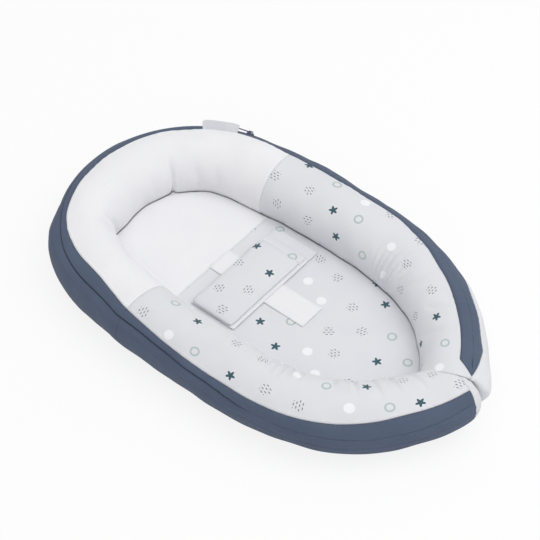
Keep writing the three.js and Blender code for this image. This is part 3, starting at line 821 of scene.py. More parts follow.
INKS = {
    "Dot": srgb(246, 247, 250),
    "Ring": srgb(186, 200, 197),
    "Dash": srgb(104, 118, 128),
    "Star": srgb(66, 96, 106),
}
# The lining is the white cloth darkened: painted shade where it shows along the pad's edge.
SHADED_LINING_CLOTH = cloth_material("lining_cotton_painted_shade", srgb(236, 236, 240), srgb(232, 232, 237))
WHITE_CLOTH = cloth_material("white_cotton", srgb(244, 244, 246), srgb(241, 241, 244))
PRINT_CLOTH = cloth_material("printed_cotton", srgb(229, 230, 234), srgb(226, 227, 232), printed=INKS)
PALE_CLOTH = cloth_material("pale_grey_cotton", srgb(229, 230, 234), srgb(226, 227, 232))
# The underside is the white cloth darkened: painted shade for the roll's lower side.
SHADED_UNDER_CLOTH = cloth_material("underside_cotton_painted_shade", srgb(232, 233, 236), srgb(229, 230, 234))
SLATE_CLOTH = cloth_material("slate_cotton", srgb(90, 102, 123), srgb(84, 95, 116), 1500.0, 0.1)
FIBRE = pile_material("polyester_fibre", srgb(246, 244, 238), srgb(232, 230, 222), 240.0, 0.0012)
WADDING = pile_material("wadding", srgb(243, 239, 225), srgb(228, 222, 205), 300.0, 0.0008)
LOOP_TAPE = pile_material("loop_tape", srgb(239, 239, 241), srgb(233, 233, 236), 1300.0, 0.0002)
HOOK_TAPE = pile_material("hook_tape", srgb(228, 229, 234), srgb(205, 207, 214), 1000.0, 0.0004)
ZIP_COIL = painted_material("zip_coil", srgb(62, 72, 92), srgb(50, 59, 76), 0.45)
ZIP_METAL = painted_material("painted_zip_metal", srgb(92, 102, 122), srgb(84, 94, 113), 0.45, 0.40)
TAG_CLOTH = cloth_material("satin_tag", srgb(226, 227, 231), srgb(218, 219, 225), 2600.0, 0.3)
WHITE_THREAD = cloth_material("white_thread", srgb(222, 223, 228), srgb(212, 213, 219), 4200.0)
SLATE_THREAD = cloth_material("slate_thread", srgb(74, 85, 106), srgb(66, 76, 96), 4200.0)


def finish_piece(piece, material, slot, body=None, nodes=(), blend=None, fill=None):
    """Gives a piece its material and the body it moves with, and hides the nodes it stands for.
    A piece given a blend only has its transform baked. The slot is not used.
    """
    piece.data.materials.clear()
    piece.data.materials.append(material)
    if blend:
        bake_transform(piece)
    else:
        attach(piece, body)
    if nodes:
        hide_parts(*nodes)
    return piece


def run_cloth(piece, held, slack, pressure, frames, stretch, bending, extra):
    """Inflates a piece as cloth: held says how firmly each vertex stays, slack where its cloth is longer."""
    for name, weights in (("held", held), ("slack", slack)):
        group = piece.vertex_groups.new(name=name)
        levels = np.round(weights, 2)
        for level in np.unique(levels):
            group.add(np.flatnonzero(levels == level).tolist(), float(level), "REPLACE")
    cloth = piece.modifiers.new("cloth", "CLOTH")
    for name, value in dict(
        quality=5, mass=0.3, air_damping=3,
        tension_stiffness=stretch, compression_stiffness=stretch, shear_stiffness=stretch * 0.4,
        bending_stiffness=bending, vertex_group_mass="held", pin_stiffness=1.0,
        use_pressure=True, uniform_pressure_force=pressure,
        vertex_group_shrink="slack", shrink_min=0.0, shrink_max=-extra,
    ).items():
        setattr(cloth.settings, name, value)
    cloth.settings.effector_weights.gravity = 0
    cloth.point_cache.frame_start = 1
    cloth.point_cache.frame_end = frames
    scene = bpy.context.scene
    for number in range(1, frames + 1):
        scene.frame_set(number)
    evaluated = piece.evaluated_get(bpy.context.evaluated_depsgraph_get())
    points = read_points(evaluated.data)
    scene.frame_set(1)
    piece.modifiers.remove(cloth)
    piece.vertex_groups.clear()
    return points


def capped(moves, most):
    """Moves shortened smoothly, so that none is longer than most."""
    length = np.linalg.norm(moves, axis=-1, keepdims=True)
    return moves / np.sqrt(1 + (length / most) ** 2)


def averaged(table, passes):
    """A table that closes round the roll, each value averaged with its neighbours again and again."""
    for _ in range(passes):
        rows = np.concatenate([table[:1], table, table[-1:]])
        table = (rows[:-2] + rows[2:] + 2 * table) / 4
        table = (np.roll(table, 1, 1) + np.roll(table, -1, 1) + 2 * table) / 4
    return table


# The roll's cover as simulated cloth: the mesh's spacing along the roll and its sides, how far a point may
# move, and how often the moves are averaged to find what isn't wrinkles.
CLOTH_STEP = 0.0068
CLOTH_SIDES = 54
CLOTH_MOVE = 0.0050
CLOTH_AVERAGE = 40
COVER_CLOTH = dict(pressure=1.6, frames=26, stretch=18, bending=0.12, extra=0.07)

# The cover is held where it rests on the floor, near its seams and at its tips. It is loose on its inner
# side, and most of all in the bends: place along the roll, run and strength.
FLOOR_TURNS = (236, 262, 286, 312)
INNER_TURNS = (70, 120, 215, 240)
TIP_HOLD = 0.03
LOOSE_BENDS = (
    (0.60, 0.05, 1.0), (-0.61, 0.06, 1.0), (0.11, 0.07, 0.7), (-0.11, 0.07, 0.7), (-0.80, 0.08, 0.8),
    (0.77, 0.06, 0.8),
)


def simulate_roll():
    """How the cover wrinkles when its stuffing presses on it: loose in the bends, and held at its seams.

    Only the wrinkles are kept. The roll's own form already holds how far it swells.
    """
    place, angle = table_axes(CLOTH_STEP, CLOTH_SIDES)
    moves = np.zeros(place.shape + (3,))
    rows = place.shape[0]

    def place_vertex(u, v):
        at = -REACH_END[LEFT] + ROLL_LENGTH * u
        turn = (v - 0.25) * 2 * math.pi
        points = roll_form(at, turn)
        return points, points - np.array([0, 0, HEAD_HALF_WIDTH]), np.stack([at, turn], -1)

    piece = grid_piece("roll_cloth", rows - 1, CLOTH_SIDES, place_vertex)
    at, turn = read_uv(piece.data).T
    degrees = np.degrees(turn) % 360
    radius = half_width(np.abs(at), np.sign(at))
    held = np.full(len(at), 0.01)
    held = np.maximum.reduce([
        held,
        *(0.25 * hump(seam_turn(line, at, turn) * radius, 0, 0.006) for line in (UPPER_SEAM, LOWER_SEAM)),
        window(degrees, *FLOOR_TURNS),
        zip_calm(at, turn),
        *(smooth(side * at, TIPS[side] - TIP_HOLD, TIPS[side]) for side in (LEFT, RIGHT)),
    ])
    bends = np.maximum.reduce([strength * hump(at, middle, run) for middle, run, strength in LOOSE_BENDS])
    slack = 0.15 + 0.85 * window(degrees, *INNER_TURNS) * (0.25 + 0.75 * bends)
    start = read_points(piece.data)
    moved = run_cloth(piece, held, slack, **COVER_CLOTH)
    row = np.round((at + REACH_END[LEFT]) / ROLL_LENGTH * (rows - 1)).astype(int)
    column = np.round(turn / (2 * math.pi) * CLOTH_SIDES).astype(int) % CLOTH_SIDES
    moves[row, column] = capped(moved - start, CLOTH_MOVE)
    bpy.data.objects.remove(piece)
    return (moves - averaged(moves, CLOTH_AVERAGE)) * (1 - zip_calm(place, angle))[..., None]


def build_roll():
    """The roll's surface with the cloth's simulated moves, as points and normals."""
    moves = simulate_roll()
    place, angle = table_axes(TABLE_STEP, TABLE_SIDES)
    points = roll_form(place, angle) + read_table(moves, place, angle)
    points[..., 2] = np.maximum(points[..., 2], FLOOR_CLEARANCE)
    at_join = place < JOIN_RUN - TIPS[LEFT]
    points[..., 0] = np.where(at_join, np.minimum(points[..., 0], LEFT_LIMIT), points[..., 0])
    return np.concatenate([points, table_normals(points)], -1)


BEND_RUN = 0.075


def foot_blend(side, body):
    """Two points either side of a foot's bend, with the root above it and the foot's own body below it;
    pieces given them are only baked in place.
    """
    points = []
    for step in (-BEND_RUN, BEND_RUN):
        x, y, _ = centreline(np.array(SWING_DISTANCE + step), side)
        points.append((float(x), float(y), HEAD_HALF_HEIGHT))
    return dict(blend=("root", body, *points))


LENGTH_MOVES = {
    "head": dict(body="root"),
    "left": foot_blend(LEFT, "left_foot"),
    "right": foot_blend(RIGHT, "right_foot"),
}
CAP_SEAM = {LEFT: TIPS[LEFT] - 0.0138, RIGHT: TAPER_END + 0.017}
GRID = 0.0024


def edge_dip(run, depth, width):
    return -depth * np.exp(-run / width)


def zip_presence(place):
    """1 along the zip and 0 beyond its ends."""
    left, right = ZIP_LEFT_END, ZIP_RIGHT_END
    return window(place, left - 0.008, left + 0.02, right - 0.002, right + 0.006)


# How a panel's cloth turns at each kind of edge: a form's height, its middle and width off the edge, its
# shares along the zip and beyond it, and whether it keeps calm for the slider. A form without a middle falls
# off from the edge itself.
EDGE_FORMS = {
    "plain": (),
    "seam": ((-0.0012, None, 0.0020, 1, 1, False), (0.0006, 0.0075, 0.0050, 1, 1, False)),
    "rim": ((0.0007, 0.0020, 0.0022, 1, 1, False), (-0.0008, None, 0.0005, 1, 1, False)),
    "upper_fold": (
        (0.0006, None, 0.0040, 1, 0, False),
        (-0.0010, None, 0.0007, 1, 0.25, False),
        (0.0006, 0.0030, 0.0040, 1, 0, True),
    ),
    "lower_fold": (
        (-0.0013, None, 0.0020, 1, 0.2, False),
        (0.0008, 0.0105, 0.0040, 1, 1, False),
        (-0.0006, 0.0185, 0.0030, 1, 1, False),
        (0.0005, 0.0240, 0.0030, 0, 1, False),
        (-0.0005, 0.0310, 0.0025, 0, 1, False),
    ),
}

# Gathers at each kind of edge: height, pitch, seed and whether they keep calm for the slider.
EDGE_GATHERS = {
    "plain": (0.0, 1.0, 0.0, False),
    "seam": (0.00035, 0.013, 1.0, False),
    "rim": (0.00030, 0.016, 1.0, False),
    "upper_fold": (0.0004, 0.021, 2.0, True),
    "lower_fold": (0.0004, 0.026, 3.0, True),
}
END_DIP = (0.0008, 0.0016)


def cover_lift(place, angle, edges, end_runs):
    """Height of a cover panel over the roll: its folds, and how its cloth turns in at each edge."""
    lift = cloth_lift(place, angle)
    calm = 1 - zip_calm(place, angle)
    at_zip = zip_presence(place)
    for run, kind in edges:
        for height, middle, width, along, beyond, calmed in EDGE_FORMS[kind]:
            form = np.exp(-run / width) if middle is None else hump(run, middle, width)
            lift += height * (beyond + (along - beyond) * at_zip) * form * (calm if calmed else 1)
        height, pitch, seed, calmed = EDGE_GATHERS[kind]
        lift += height * pucker(place, run, pitch, seed) * (calm if calmed else 1)
    for run in end_runs:
        lift += edge_dip(run, *END_DIP)
    return lift


def on_roll(place, angle, lift):
    """Points, normals and texture places on the roll, for grid_piece."""
    return *sample(place, angle, lift), np.stack([place, angle * HEAD_HALF_WIDTH], -1)


def cover(name, start, stop, low, high, kinds, material, slot, ends=(), **rest):
    """A cover panel between two seams and two places along the roll."""
    columns = max(4, round((stop - start) / GRID))
    span = float(np.max(high(np.array([start, stop])) - low(np.array([start, stop]))))
    rows = max(4, round(span * HEAD_HALF_WIDTH / GRID))

    def place_vertex(u, v):
        place = start + (stop - start) * u
        bottom, top = low(place), high(place)
        angle = bottom + (top - bottom) * v
        radius = half_width(np.abs(place), place)
        edges = (((angle - bottom) * radius, kinds[0]), ((top - angle) * radius, kinds[1]))
        return on_roll(place, angle, cover_lift(place, angle, edges, [np.abs(place - at) for at in ends]))

    return finish_piece(thicken(grid_piece(name, columns, rows, place_vertex)), material, slot, **rest)


def on_seam(angles):
    """A seam's angle along the roll."""
    return lambda place: seam(angles, place)


def zip_lip(side):
    """The angle of one lip of the zip's slit, which is open only along the zip."""
    def angle(place):
        at_zip = zip_presence(place)
        gap = ZIP_SHUT + (ZIP_OPEN - ZIP_SHUT) * at_zip
        waver = at_zip * (0.0005 * np.sin(place * 47 + 1) + 0.0003 * np.sin(place * 83))
        return seam(ZIP_SEAM, place) + (side * gap + waver) / HEAD_HALF_WIDTH

    return angle


def level(angle):
    return lambda place: np.full_like(place, angle)


def make_covers():
    """The roll's cover in three lengths: an inner panel, two slate bands and a white underside each."""
    upper, lower = on_seam(UPPER_SEAM), on_seam(LOWER_SEAM)
    inner, under = level(INNER_SEAM), level(INNER_SEAM - 2 * math.pi)
    for word, start, stop, slate_stop, inner_nodes, prefix, underside in (
        ("head", -LEFT_PRINT, RIGHT_PRINT, RIGHT_PRINT, ["head_panel"], "", "underside_main"),
        (
            "left", -CAP_SEAM[LEFT], -LEFT_PRINT, -LEFT_PRINT,
            ["left_print_panel", "left_foot_print_panel"], "left_foot_", "left_foot_underside",
        ),
        (
            "right", RIGHT_PRINT, CAP_SEAM[RIGHT], TAPER_END - 0.0008,
            ["right_print_panel", "right_foot_print_panel"], "right_foot_", "right_foot_underside",
        ),
    ):
        cloth, slot = (WHITE_CLOTH, "white_cloth") if word == "head" else (PRINT_CLOTH, "print_cloth")
        slate = (SLATE_CLOTH, "slate_cloth")
        # The underside's white cloth is darkened as painted shade.
        white = (SHADED_UNDER_CLOTH, "white_cloth")
        bands = [prefix + "upper_band"], [prefix + "lower_band"]
        for label, end, low, high, kinds, looks, nodes, ends in (
            ("inner_cover", stop, upper, inner, ("rim", "plain"), (cloth, slot), inner_nodes, (start, stop)),
            ("upper_slate", slate_stop, zip_lip(1), upper, ("upper_fold", "seam"), slate, bands[0], ()),
            ("lower_slate", slate_stop, lower, zip_lip(-1), ("seam", "lower_fold"), slate, bands[1], ()),
            ("underside", stop, under, lower, ("plain", "seam"), white, [underside], ()),
        ):
            cover(
                f"{word}_{label}", start, end, low, high, kinds, *looks, ends,
                nodes=nodes, fill=0.95, **LENGTH_MOVES[word],
            )


def make_end_cap(side, word):
    """The domed cap that closes one end of the roll."""
    start, stop = side * CAP_SEAM[side], side * REACH_END[side]

    def place_vertex(u, v):
        place = start + (stop - start) * u
        angle = v * 2 * math.pi
        run = np.abs(place - start)
        lift = soft_lift(place, angle) * smooth(REACH_END[side] - np.abs(place), 0.01, 0.04)
        lift = lift + edge_dip(run, 0.0008, 0.0018)
        lift = lift + 0.0004 * pucker(angle * HEAD_HALF_WIDTH, run, 0.015, 2.0)
        return on_roll(place, angle, lift)

    piece = thicken(grid_piece(f"{word}_cap", 34, 132, place_vertex, weld=True))
    finish_piece(piece, PALE_CLOTH, "print_cloth", f"{word}_foot", [f"{word}_end_cap"], fill=0.95)


STUFFING_DEPTH = 0.0045


def make_stuffing():
    """Fibre inside the cover, in three lengths."""
    for word, start, stop, node in (
        ("head", -LEFT_PRINT + 0.001, RIGHT_PRINT - 0.001, "filling_main"),
        ("left", -TIPS[LEFT] - 0.004, -LEFT_PRINT - 0.001, "left_foot_filling"),
        ("right", RIGHT_PRINT + 0.001, TIPS[RIGHT] - 0.015, "right_foot_filling"),
    ):
        def place_vertex(u, v, start=start, stop=stop):
            place = start + (stop - start) * u
            angle = v * 2 * math.pi
            return on_roll(place, angle, fold_lift(place, angle) - STUFFING_DEPTH)

        piece = grid_piece(f"{word}_stuffing", round((stop - start) / 0.006), 56, place_vertex, weld=True)
        with editing(piece) as bm:
            bmesh.ops.holes_fill(bm, edges=open_edges(bm), sides=0)
        turn_outward(piece)
        finish_piece(piece, FIBRE, "fibre", nodes=[node], fill=0.9, **LENGTH_MOVES[word])


# Mattress: its outline follows the roll's inner face and cuts the corner between the two ends.
MATTRESS_BOTTOM = 0.00335
MATTRESS_TOP = 0.03335
MATTRESS_ROUND = 0.0042
MATTRESS_GAP = 0.0007
MATTRESS_CROWN = 0.0012
MATTRESS_TIP = 0.331
TIP_SOFTNESS = 0.006

# A mattress grid's rows: the shares where its top and its side end, and its rim's share of the side. Then how
# far its top sinks.
TOP_SHARE = 0.62
SIDE_SHARE = 0.84
RIM_SHARE = 0.4
TOP_SINK = 0.0006


def find_inner_face():
    """Points down the roll's inner face, from its middle to the floor, at places round the lounger."""
    places = np.linspace(-TIPS[LEFT] - 0.006, TIPS[RIGHT] + 0.006, 1500)
    place, angle = np.meshgrid(places, np.radians(np.linspace(262, 150, 57)), indexing="ij")
    points, _ = sample(place, angle, cloth_lift(place, angle))
    return places, points


def inside_outline(height, gap):
    """Radius of the space inside the roll at a height, as a function of the direction from the middle."""
    place, points = INNER_FACE
    x, y = (np.array([np.interp(height, row[:, 2], row[:, axis]) for row in points]) for axis in range(2))
    own_side = np.sign(place) * (x - SHIFT.x - JOIN_X) > 0
    kept = own_side | (np.abs(place) < BEND)
    x, y = x[kept], y[kept]
    direction = np.unwrap(np.arctan2(x, y))
    radius = np.hypot(x, y) - gap
    order = np.argsort(direction)
    direction, radius = direction[order], radius[order]
    foot_limit = MATTRESS_TIP / np.maximum(-np.cos(direction), MATTRESS_TIP)
    radius = at_most(radius, foot_limit, TIP_SOFTNESS)
    direction = np.concatenate([direction - 2 * math.pi, direction, direction + 2 * math.pi])
    radius = np.tile(radius, 3)
    return lambda turn: np.interp(turn, direction, radius)


def mattress_form(name, inset, columns, rows):
    """A closed cushion whose sides follow the roll, with a rounded rim and a nearly level top."""
    top, bottom = MATTRESS_TOP - inset, MATTRESS_BOTTOM + inset
    heights = np.linspace(bottom, top, 9)
    outlines = [inside_outline(height, MATTRESS_GAP + inset) for height in heights]

    def outline(turn, height):
        radii = np.stack([line(turn) for line in outlines])
        share = np.clip((height - bottom) / (top - bottom), 0, 1) * (len(heights) - 1)
        low = np.minimum(share.astype(int), len(heights) - 2)
        first = np.take_along_axis(radii, low[None], 0)[0]
        second = np.take_along_axis(radii, low[None] + 1, 0)[0]
        return first + (second - first) * (share - low)

    def place_vertex(u, v):
        turn = (u - 0.5) * 2 * math.pi
        on_top = v < TOP_SHARE
        on_side = ~on_top & (v < SIDE_SHARE)
        inward = np.where(on_top, (v / TOP_SHARE) ** 0.9, np.clip((1 - v) / (1 - SIDE_SHARE), 0, 1))
        drop = np.clip((v - TOP_SHARE) / (SIDE_SHARE - TOP_SHARE), 0, 1)
        round_turn = np.clip(drop / RIM_SHARE, 0, 1) * math.pi / 2
        fall = (drop - RIM_SHARE) / (1 - RIM_SHARE)
        height = np.where(
            drop < RIM_SHARE,
            top - MATTRESS_ROUND * (1 - np.cos(round_turn)),
            (top - MATTRESS_ROUND) * (1 - fall) + bottom * fall,
        )
        tuck = MATTRESS_ROUND * (1 - np.sin(round_turn))
        edge = outline(turn, height)
        radius = np.where(on_side, edge - tuck, inward * (edge - MATTRESS_ROUND * on_top))
        x, y = radius * np.sin(turn), radius * np.cos(turn)
        run = np.where(on_top, edge - radius, 0)
        crown = -MATTRESS_CROWN * np.exp(-np.maximum(run - MATTRESS_ROUND, 0) / 0.018)
        uneven = 0.0003 * np.sin(x * 41 + 1.0) * np.sin(y * 33 + 0.5) + 0.0002 * np.sin(x * 90 - y * 70)
        seam_dip = edge_dip(np.abs(y - PRINT_EDGE_Y - SHIFT.y), 0.0006, 0.0020)
        level_top = top - TOP_SINK + crown + uneven + seam_dip
        z = np.where(on_top, level_top, height - (TOP_SINK + MATTRESS_CROWN) * (1 - drop))
        z = np.where(v >= SIDE_SHARE, bottom, z)
        points = np.stack([x, y, z], -1)
        return points, points - np.array([0, 0, (top + bottom) / 2]), np.stack([x, y], -1)

    piece = grid_piece(name, columns, rows, place_vertex, weld=True)
    turn_outward(piece)
    return piece


def keep_part(piece, point, normal):
    """Cuts a piece by a plane and keeps what lies behind the plane's normal."""
    with editing(piece) as bm:
        cut(bm, point, normal, clear_outer=True)


def make_mattress():
    head = mattress_form("mattress_head", 0.0, 620, 90)
    foot = new_object("mattress_foot", head.data.copy())
    edge = Vector((0, PRINT_EDGE_Y, 0)) + SHIFT
    keep_part(head, edge, (0, -1, 0))
    keep_part(foot, edge, (0, 1, 0))
    for piece, material, slot, node in (
        (head, WHITE_CLOTH, "white_cloth", "mattress_head_cover"),
        (foot, PRINT_CLOTH, "print_cloth", "mattress_foot_cover"),
    ):
        keep_part(piece, Vector((0, 0, MATTRESS_BOTTOM + 0.0012)), (0, 0, -1))
        thicken(piece, 0.0010)
        finish_piece(piece, material, slot, "root", [node], fill=0.8)
    core = mattress_form("mattress_wadding", 0.0030, 360, 50)
    finish_piece(core, WADDING, "foam", "root", ["mattress_core"], fill=0.8)
    half = HEAD_RADIUS - HEAD_HALF_WIDTH
    row = np.array([[-half - 0.02, 0.0028], [half + 0.02, 0.0028]]) + [SHIFT.x, edge.y]
    stitch_row("mattress_topstitch", *settled(row, head), WHITE_THREAD, "white_cloth", body="root")


def outline_sheet(name, height, thickness, inset):
    """A level sheet that fills the inside of the roll, with its underside at a height."""
    line = inside_outline(height, inset)

    def place_vertex(u, v):
        turn = (u - 0.5) * 2 * math.pi
        radius = v * line(turn)
        x, y = radius * np.sin(turn), radius * np.cos(turn)
        points = np.stack([x, y, np.full_like(x, height + thickness)], -1)
        return points, np.tile([0.0, 0.0, 1.0], (len(x), 1)), np.stack([x, y], -1)

    return thicken(grid_piece(name, 360, 24, place_vertex, weld=True), thickness)


def make_sheets():
    """The cloth under the mattress and the base sheet, both cut to the inside of the roll."""
    under = outline_sheet("mattress_bottom_cloth", MATTRESS_BOTTOM, 0.0009, 0.0030)
    finish_piece(under, WHITE_CLOTH, "white_cloth", "root", ["mattress_under_cloth"])
    base = outline_sheet("base_sheet", 0.0, 0.0030, 0.0004)
    finish_piece(base, WHITE_CLOTH, "base_cloth", "root", ["base_panel"])
    for piece, below in ((under, ["base_sheet"]), (base, ["head_underside"])):
        size = np.ptp(read_points(piece.data), axis=0)


def soft_slab(name, low, high, corner, rounding, cells):
    """A flat slab with rounded corners in plan and softly rounded edges."""
    bm = bmesh.new()
    size = Vector(high) - Vector(low)
    bmesh.ops.create_cube(bm, size=1.0)
    bmesh.ops.scale(bm, verts=bm.verts, vec=size)
    bmesh.ops.translate(bm, verts=bm.verts, vec=(Vector(high) + Vector(low)) / 2)
    upright = [edge for edge in bm.edges if abs(edge.verts[0].co.z - edge.verts[1].co.z) > size.z / 2]
    round_edges(bm, upright, corner, 6)
    rims = [
        edge for edge in bm.edges
        if len(edge.link_faces) == 2 and abs(edge.link_faces[0].normal.z - edge.link_faces[1].normal.z) > 0.5
    ]
    round_edges(bm, rims, rounding, 4)
    for axis, count in enumerate(cells):
        normal = [float(number == axis) for number in range(3)]
        for step in range(1, count):
            at = Vector(low)
            at[axis] += size[axis] * step / count
            cut(bm, at, normal)
    piece = take_mesh(name, bm)
    plan_uv(piece)
    return piece


# Stitches: length of one, the step from one to the next, and half the thread's thickness.
STITCH_LENGTH = 0.0030
STITCH_PITCH = 0.0046
STITCH_RADIUS = 0.00028


def run_along(path):
    """Distance along a path at each of its points."""
    return np.concatenate([[0], np.cumsum(np.linalg.norm(np.diff(path, axis=0), axis=1))])


def read_path(at, run, path):
    """The point of a path at a distance along it."""
    return Vector([np.interp(at, run, column) for column in path.T])


def stitch_row(name, path, normals, material, slot, **moves):
    """A row of thread stitches along a path, each lying on the surface with the given normals."""
    run = run_along(path)
    bm = bmesh.new()
    for start in np.arange(STITCH_PITCH / 2, run[-1] - STITCH_PITCH / 2, STITCH_PITCH):
        spots = (start - STITCH_LENGTH / 2, start, start + STITCH_LENGTH / 2)
        first, middle, last = (read_path(spot, run, path) for spot in spots)
        up = read_path(start, run, normals).normalized()
        along = (last - first).normalized()
        side = up.cross(along).normalized()
        turned = axes_matrix(along, side, along.cross(side))
        add_bead(bm, middle, turned, (STITCH_LENGTH / 2, STITCH_RADIUS, STITCH_RADIUS))
    piece = take_mesh(name, bm)
    plan_uv(piece)
    return finish_piece(piece, material, slot, **moves)


def make_roll_stitching():
    """Topstitching beside the zip and below the upper seam."""
    for word, start, stop in (
        ("head", -LEFT_PRINT, RIGHT_PRINT),
        ("left", -CAP_SEAM[LEFT] + 0.004, -LEFT_PRINT),
        ("right", RIGHT_PRINT, TAPER_LOWER_START - 0.005),
    ):
        place = np.linspace(start, stop, max(20, round((stop - start) / 0.003)))
        for label, line, inset, lift in (
            ("lower_topstitch", ZIP_SEAM, 0.0190, -0.0006),
            ("upper_topstitch", UPPER_SEAM, 0.0042, 0.0001),
        ):
            turn = seam(line, place) - inset / HEAD_HALF_WIDTH
            row = sample(place, turn, cloth_lift(place, turn) + lift)
            stitch_row(f"{word}_{label}", *row, SLATE_THREAD, "slate_cloth", **LENGTH_MOVES[word])


def settled(corners, piece):
    """A stitching path through corners in plan, dropped on to a piece, with the normals there."""
    run = run_along(corners)
    bm = bmesh.new()
    bm.from_mesh(piece.data)
    tree = BVHTree.FromBMesh(bm)
    bm.free()
    path, normals = [], []
    for spot in np.arange(0, run[-1], 0.0015):
        x, y = read_path(spot, run, corners)
        point, normal, _, _ = tree.ray_cast(Vector((x, y, 0.3)), Vector((0, 0, -1)))
        if point is not None:
            path.append([*point])
            normals.append([*normal])
    return np.array(path), np.array(normals)


def edge_stitching(name, piece, low, high, inset, body):
    """A closed rectangle of stitching inside the edges of a flat piece."""
    xs = [low.x + inset, high.x - inset, high.x - inset, low.x + inset, low.x + inset]
    ys = [low.y + inset, low.y + inset, high.y - inset, high.y - inset, low.y + inset]
    stitch_row(name, *settled(np.stack([xs, ys], -1), piece), WHITE_THREAD, "white_cloth", body=body)


# The wrap: its pad, its lining and hook patch, the strip it fastens to and the flap that anchors it.
PAD_SEAM = 0.0014
PAD_RIM = 0.0018
PAD_CROWN = 0.0048
PAD_TUCK = 0.0016
PAD_MOVE = 0.0022
PAD_CLOTH = dict(pressure=1.0, frames=20, stretch=15, bending=0.08, extra=0.05)
PAD_COLUMNS = 90
PAD_ROWS = 46
WRAP_DROOP = 0.0017
WRAP_DROOP_RUN = 0.012


def droop(piece):
    """Lets the free edges of a piece of the wrap sink towards the mattress."""
    low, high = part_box("wrap_lining")
    points = read_points(piece.data)
    run = np.minimum.reduce([points[:, 0] - low.x, points[:, 1] - low.y, high.y - points[:, 1]])
    slow, quick = np.sin(points[:, 0] * 37 - 0.5), np.sin(points[:, 0] * 61 + points[:, 1] * 83 + 1.1)
    uneven = 0.8 + 0.2 * quick * slow
    points[:, 2] -= WRAP_DROOP * uneven * np.exp(-np.maximum(run, 0) / WRAP_DROOP_RUN)
    move_points(piece, points)


def make_pad():
    """The padded part of the wrap: a crowned top, and a lower side that draws in under its seam."""
    pad_low, pad_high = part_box("wrap_pad")
    size = pad_high - pad_low
    middle = (pad_low + pad_high) / 2

    def place_vertex(u, v):
        along, across = 2 * u - 1, 2 * v - 1
        x = middle.x + along * (1 - 0.026 * np.abs(across) ** 8) * size.x / 2 * 0.985
        y = middle.y + across * (1 - 0.06 * np.abs(along) ** 12 - 0.03 * (1 - along * along)) * size.y / 2
        edge = np.clip(1 - np.abs(along) ** 18, 0, 1) ** 0.5 * np.clip(1 - np.abs(across) ** 9, 0, 1) ** 0.5
        swell = np.clip(1 - np.abs(along) ** 5, 0, 1) ** 0.5
        swell = swell * np.clip(1 - np.abs(across) ** 2.6, 0, 1) ** 0.6
        z = pad_low.z + PAD_SEAM + PAD_RIM * edge + PAD_CROWN * swell
        points = np.stack([x, y, z], -1)
        return points, np.tile([0.0, 0.0, 1.0], (len(x), 1)), np.stack([u, v], -1)

    pad = grid_piece("wrap_pad_cover", PAD_COLUMNS, PAD_ROWS, place_vertex)
    points = read_points(pad.data)
    u, v = read_uv(pad.data).T
    run = np.minimum(np.minimum(u, 1 - u) * size.x, np.minimum(v, 1 - v) * size.y)
    held = np.maximum(0.02, 1 - smooth(run, 0.001, 0.004))
    slack = 0.35 + 0.65 * hump(run, 0.007, 0.008)
    moves = capped(run_cloth(pad, held, slack, **PAD_CLOTH) - points, PAD_MOVE)
    moves[:, 2] = np.minimum(moves[:, 2], pad_high.z - 0.0002 - points[:, 2])
    move_points(pad, points + moves)
    with editing(pad) as bm:
        made = bmesh.ops.extrude_edge_only(bm, edges=open_edges(bm))
        for item in made["geom"]:
            if isinstance(item, bmesh.types.BMVert):
                inward = middle - item.co
                item.co.x += math.copysign(min(PAD_TUCK, abs(inward.x)), inward.x)
                item.co.y += math.copysign(min(PAD_TUCK, abs(inward.y)), inward.y)
                item.co.z = pad_low.z
        bmesh.ops.holes_fill(bm, edges=open_edges(bm), sides=0)
    turn_outward(pad)
    plan_uv(pad)
    droop(pad)
    finish_piece(pad, PRINT_CLOTH, "print_cloth", "wrap", ["wrap_pad"], fill=0.5)
    edge_stitching("wrap_pad_topstitch", pad, pad_low, pad_high, 0.0065, "wrap")


def slab_sheet(name, low, high, corner, cells, material, slot, body, nodes=()):
    """A thin laid sheet between two corners."""
    piece = soft_slab(name, low, high, corner, (high.z - low.z) * 0.42, cells)
    finish_piece(piece, material, slot, body, nodes)
    return piece


def make_wrap():
    make_pad()
    pad_low, pad_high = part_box("wrap_pad")
    low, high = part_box("wrap_lining")
    # The lining's cloth carries painted shade: it is the white cloth darkened.
    lining = slab_sheet(
        "wrap_white_lining", low + Vector((0.0015, 0, 0)), high, 0.003, (60, 28, 1),
        SHADED_LINING_CLOTH, "white_cloth", "wrap", ["wrap_lining"],
    )
    droop(lining)
    hinge_low = Vector((pad_high.x - 0.006, pad_low.y + 0.001, high.z + 0.0001))
    hinge_high = Vector((high.x, pad_high.y - 0.002, high.z + 0.0011))
    slab_sheet(
        "wrap_hinge_cloth", hinge_low, hinge_high, 0.001, (6, 24, 1), PRINT_CLOTH, "print_cloth", "wrap",
    )
    low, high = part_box("wrap_hook_patch")
    slab_sheet(
        "wrap_hooks", low, high, 0.004, (6, 10, 1), HOOK_TAPE, "hook_tape", "wrap",
        ["wrap_hook_patch"],
    )
    low, high = strip_low - Vector((0.002, 0, 0)), strip_high + Vector((0.002, 0, 0))
    strip = slab_sheet(
        "loop_tape_strip", low, high, 0.002, (8, 40, 1), LOOP_TAPE, "loop_tape", "root",
        ["loop_strip"],
    )
    edge_stitching("loop_strip_stitching", strip, low, high, 0.0024, "root")
    low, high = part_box("wrap_anchor")
    anchor = soft_slab("wrap_anchor_flap", low, high, 0.003, 0.0012, (8, 24, 1))
    finish_piece(anchor, PRINT_CLOTH, "print_cloth", "root", ["wrap_anchor"], fill=0.2)
    edge_stitching("anchor_stitching", anchor, low, high, 0.0030, "root")


# Tag: a folded ribbon that stands in the upper seam and leans outwards.
TAG_PLACE = 0.194
TAG_WIDTH = 0.054
TAG_HEIGHT = 0.017
TAG_LOOP = 0.0007
TAG_LEAN = math.radians(50)


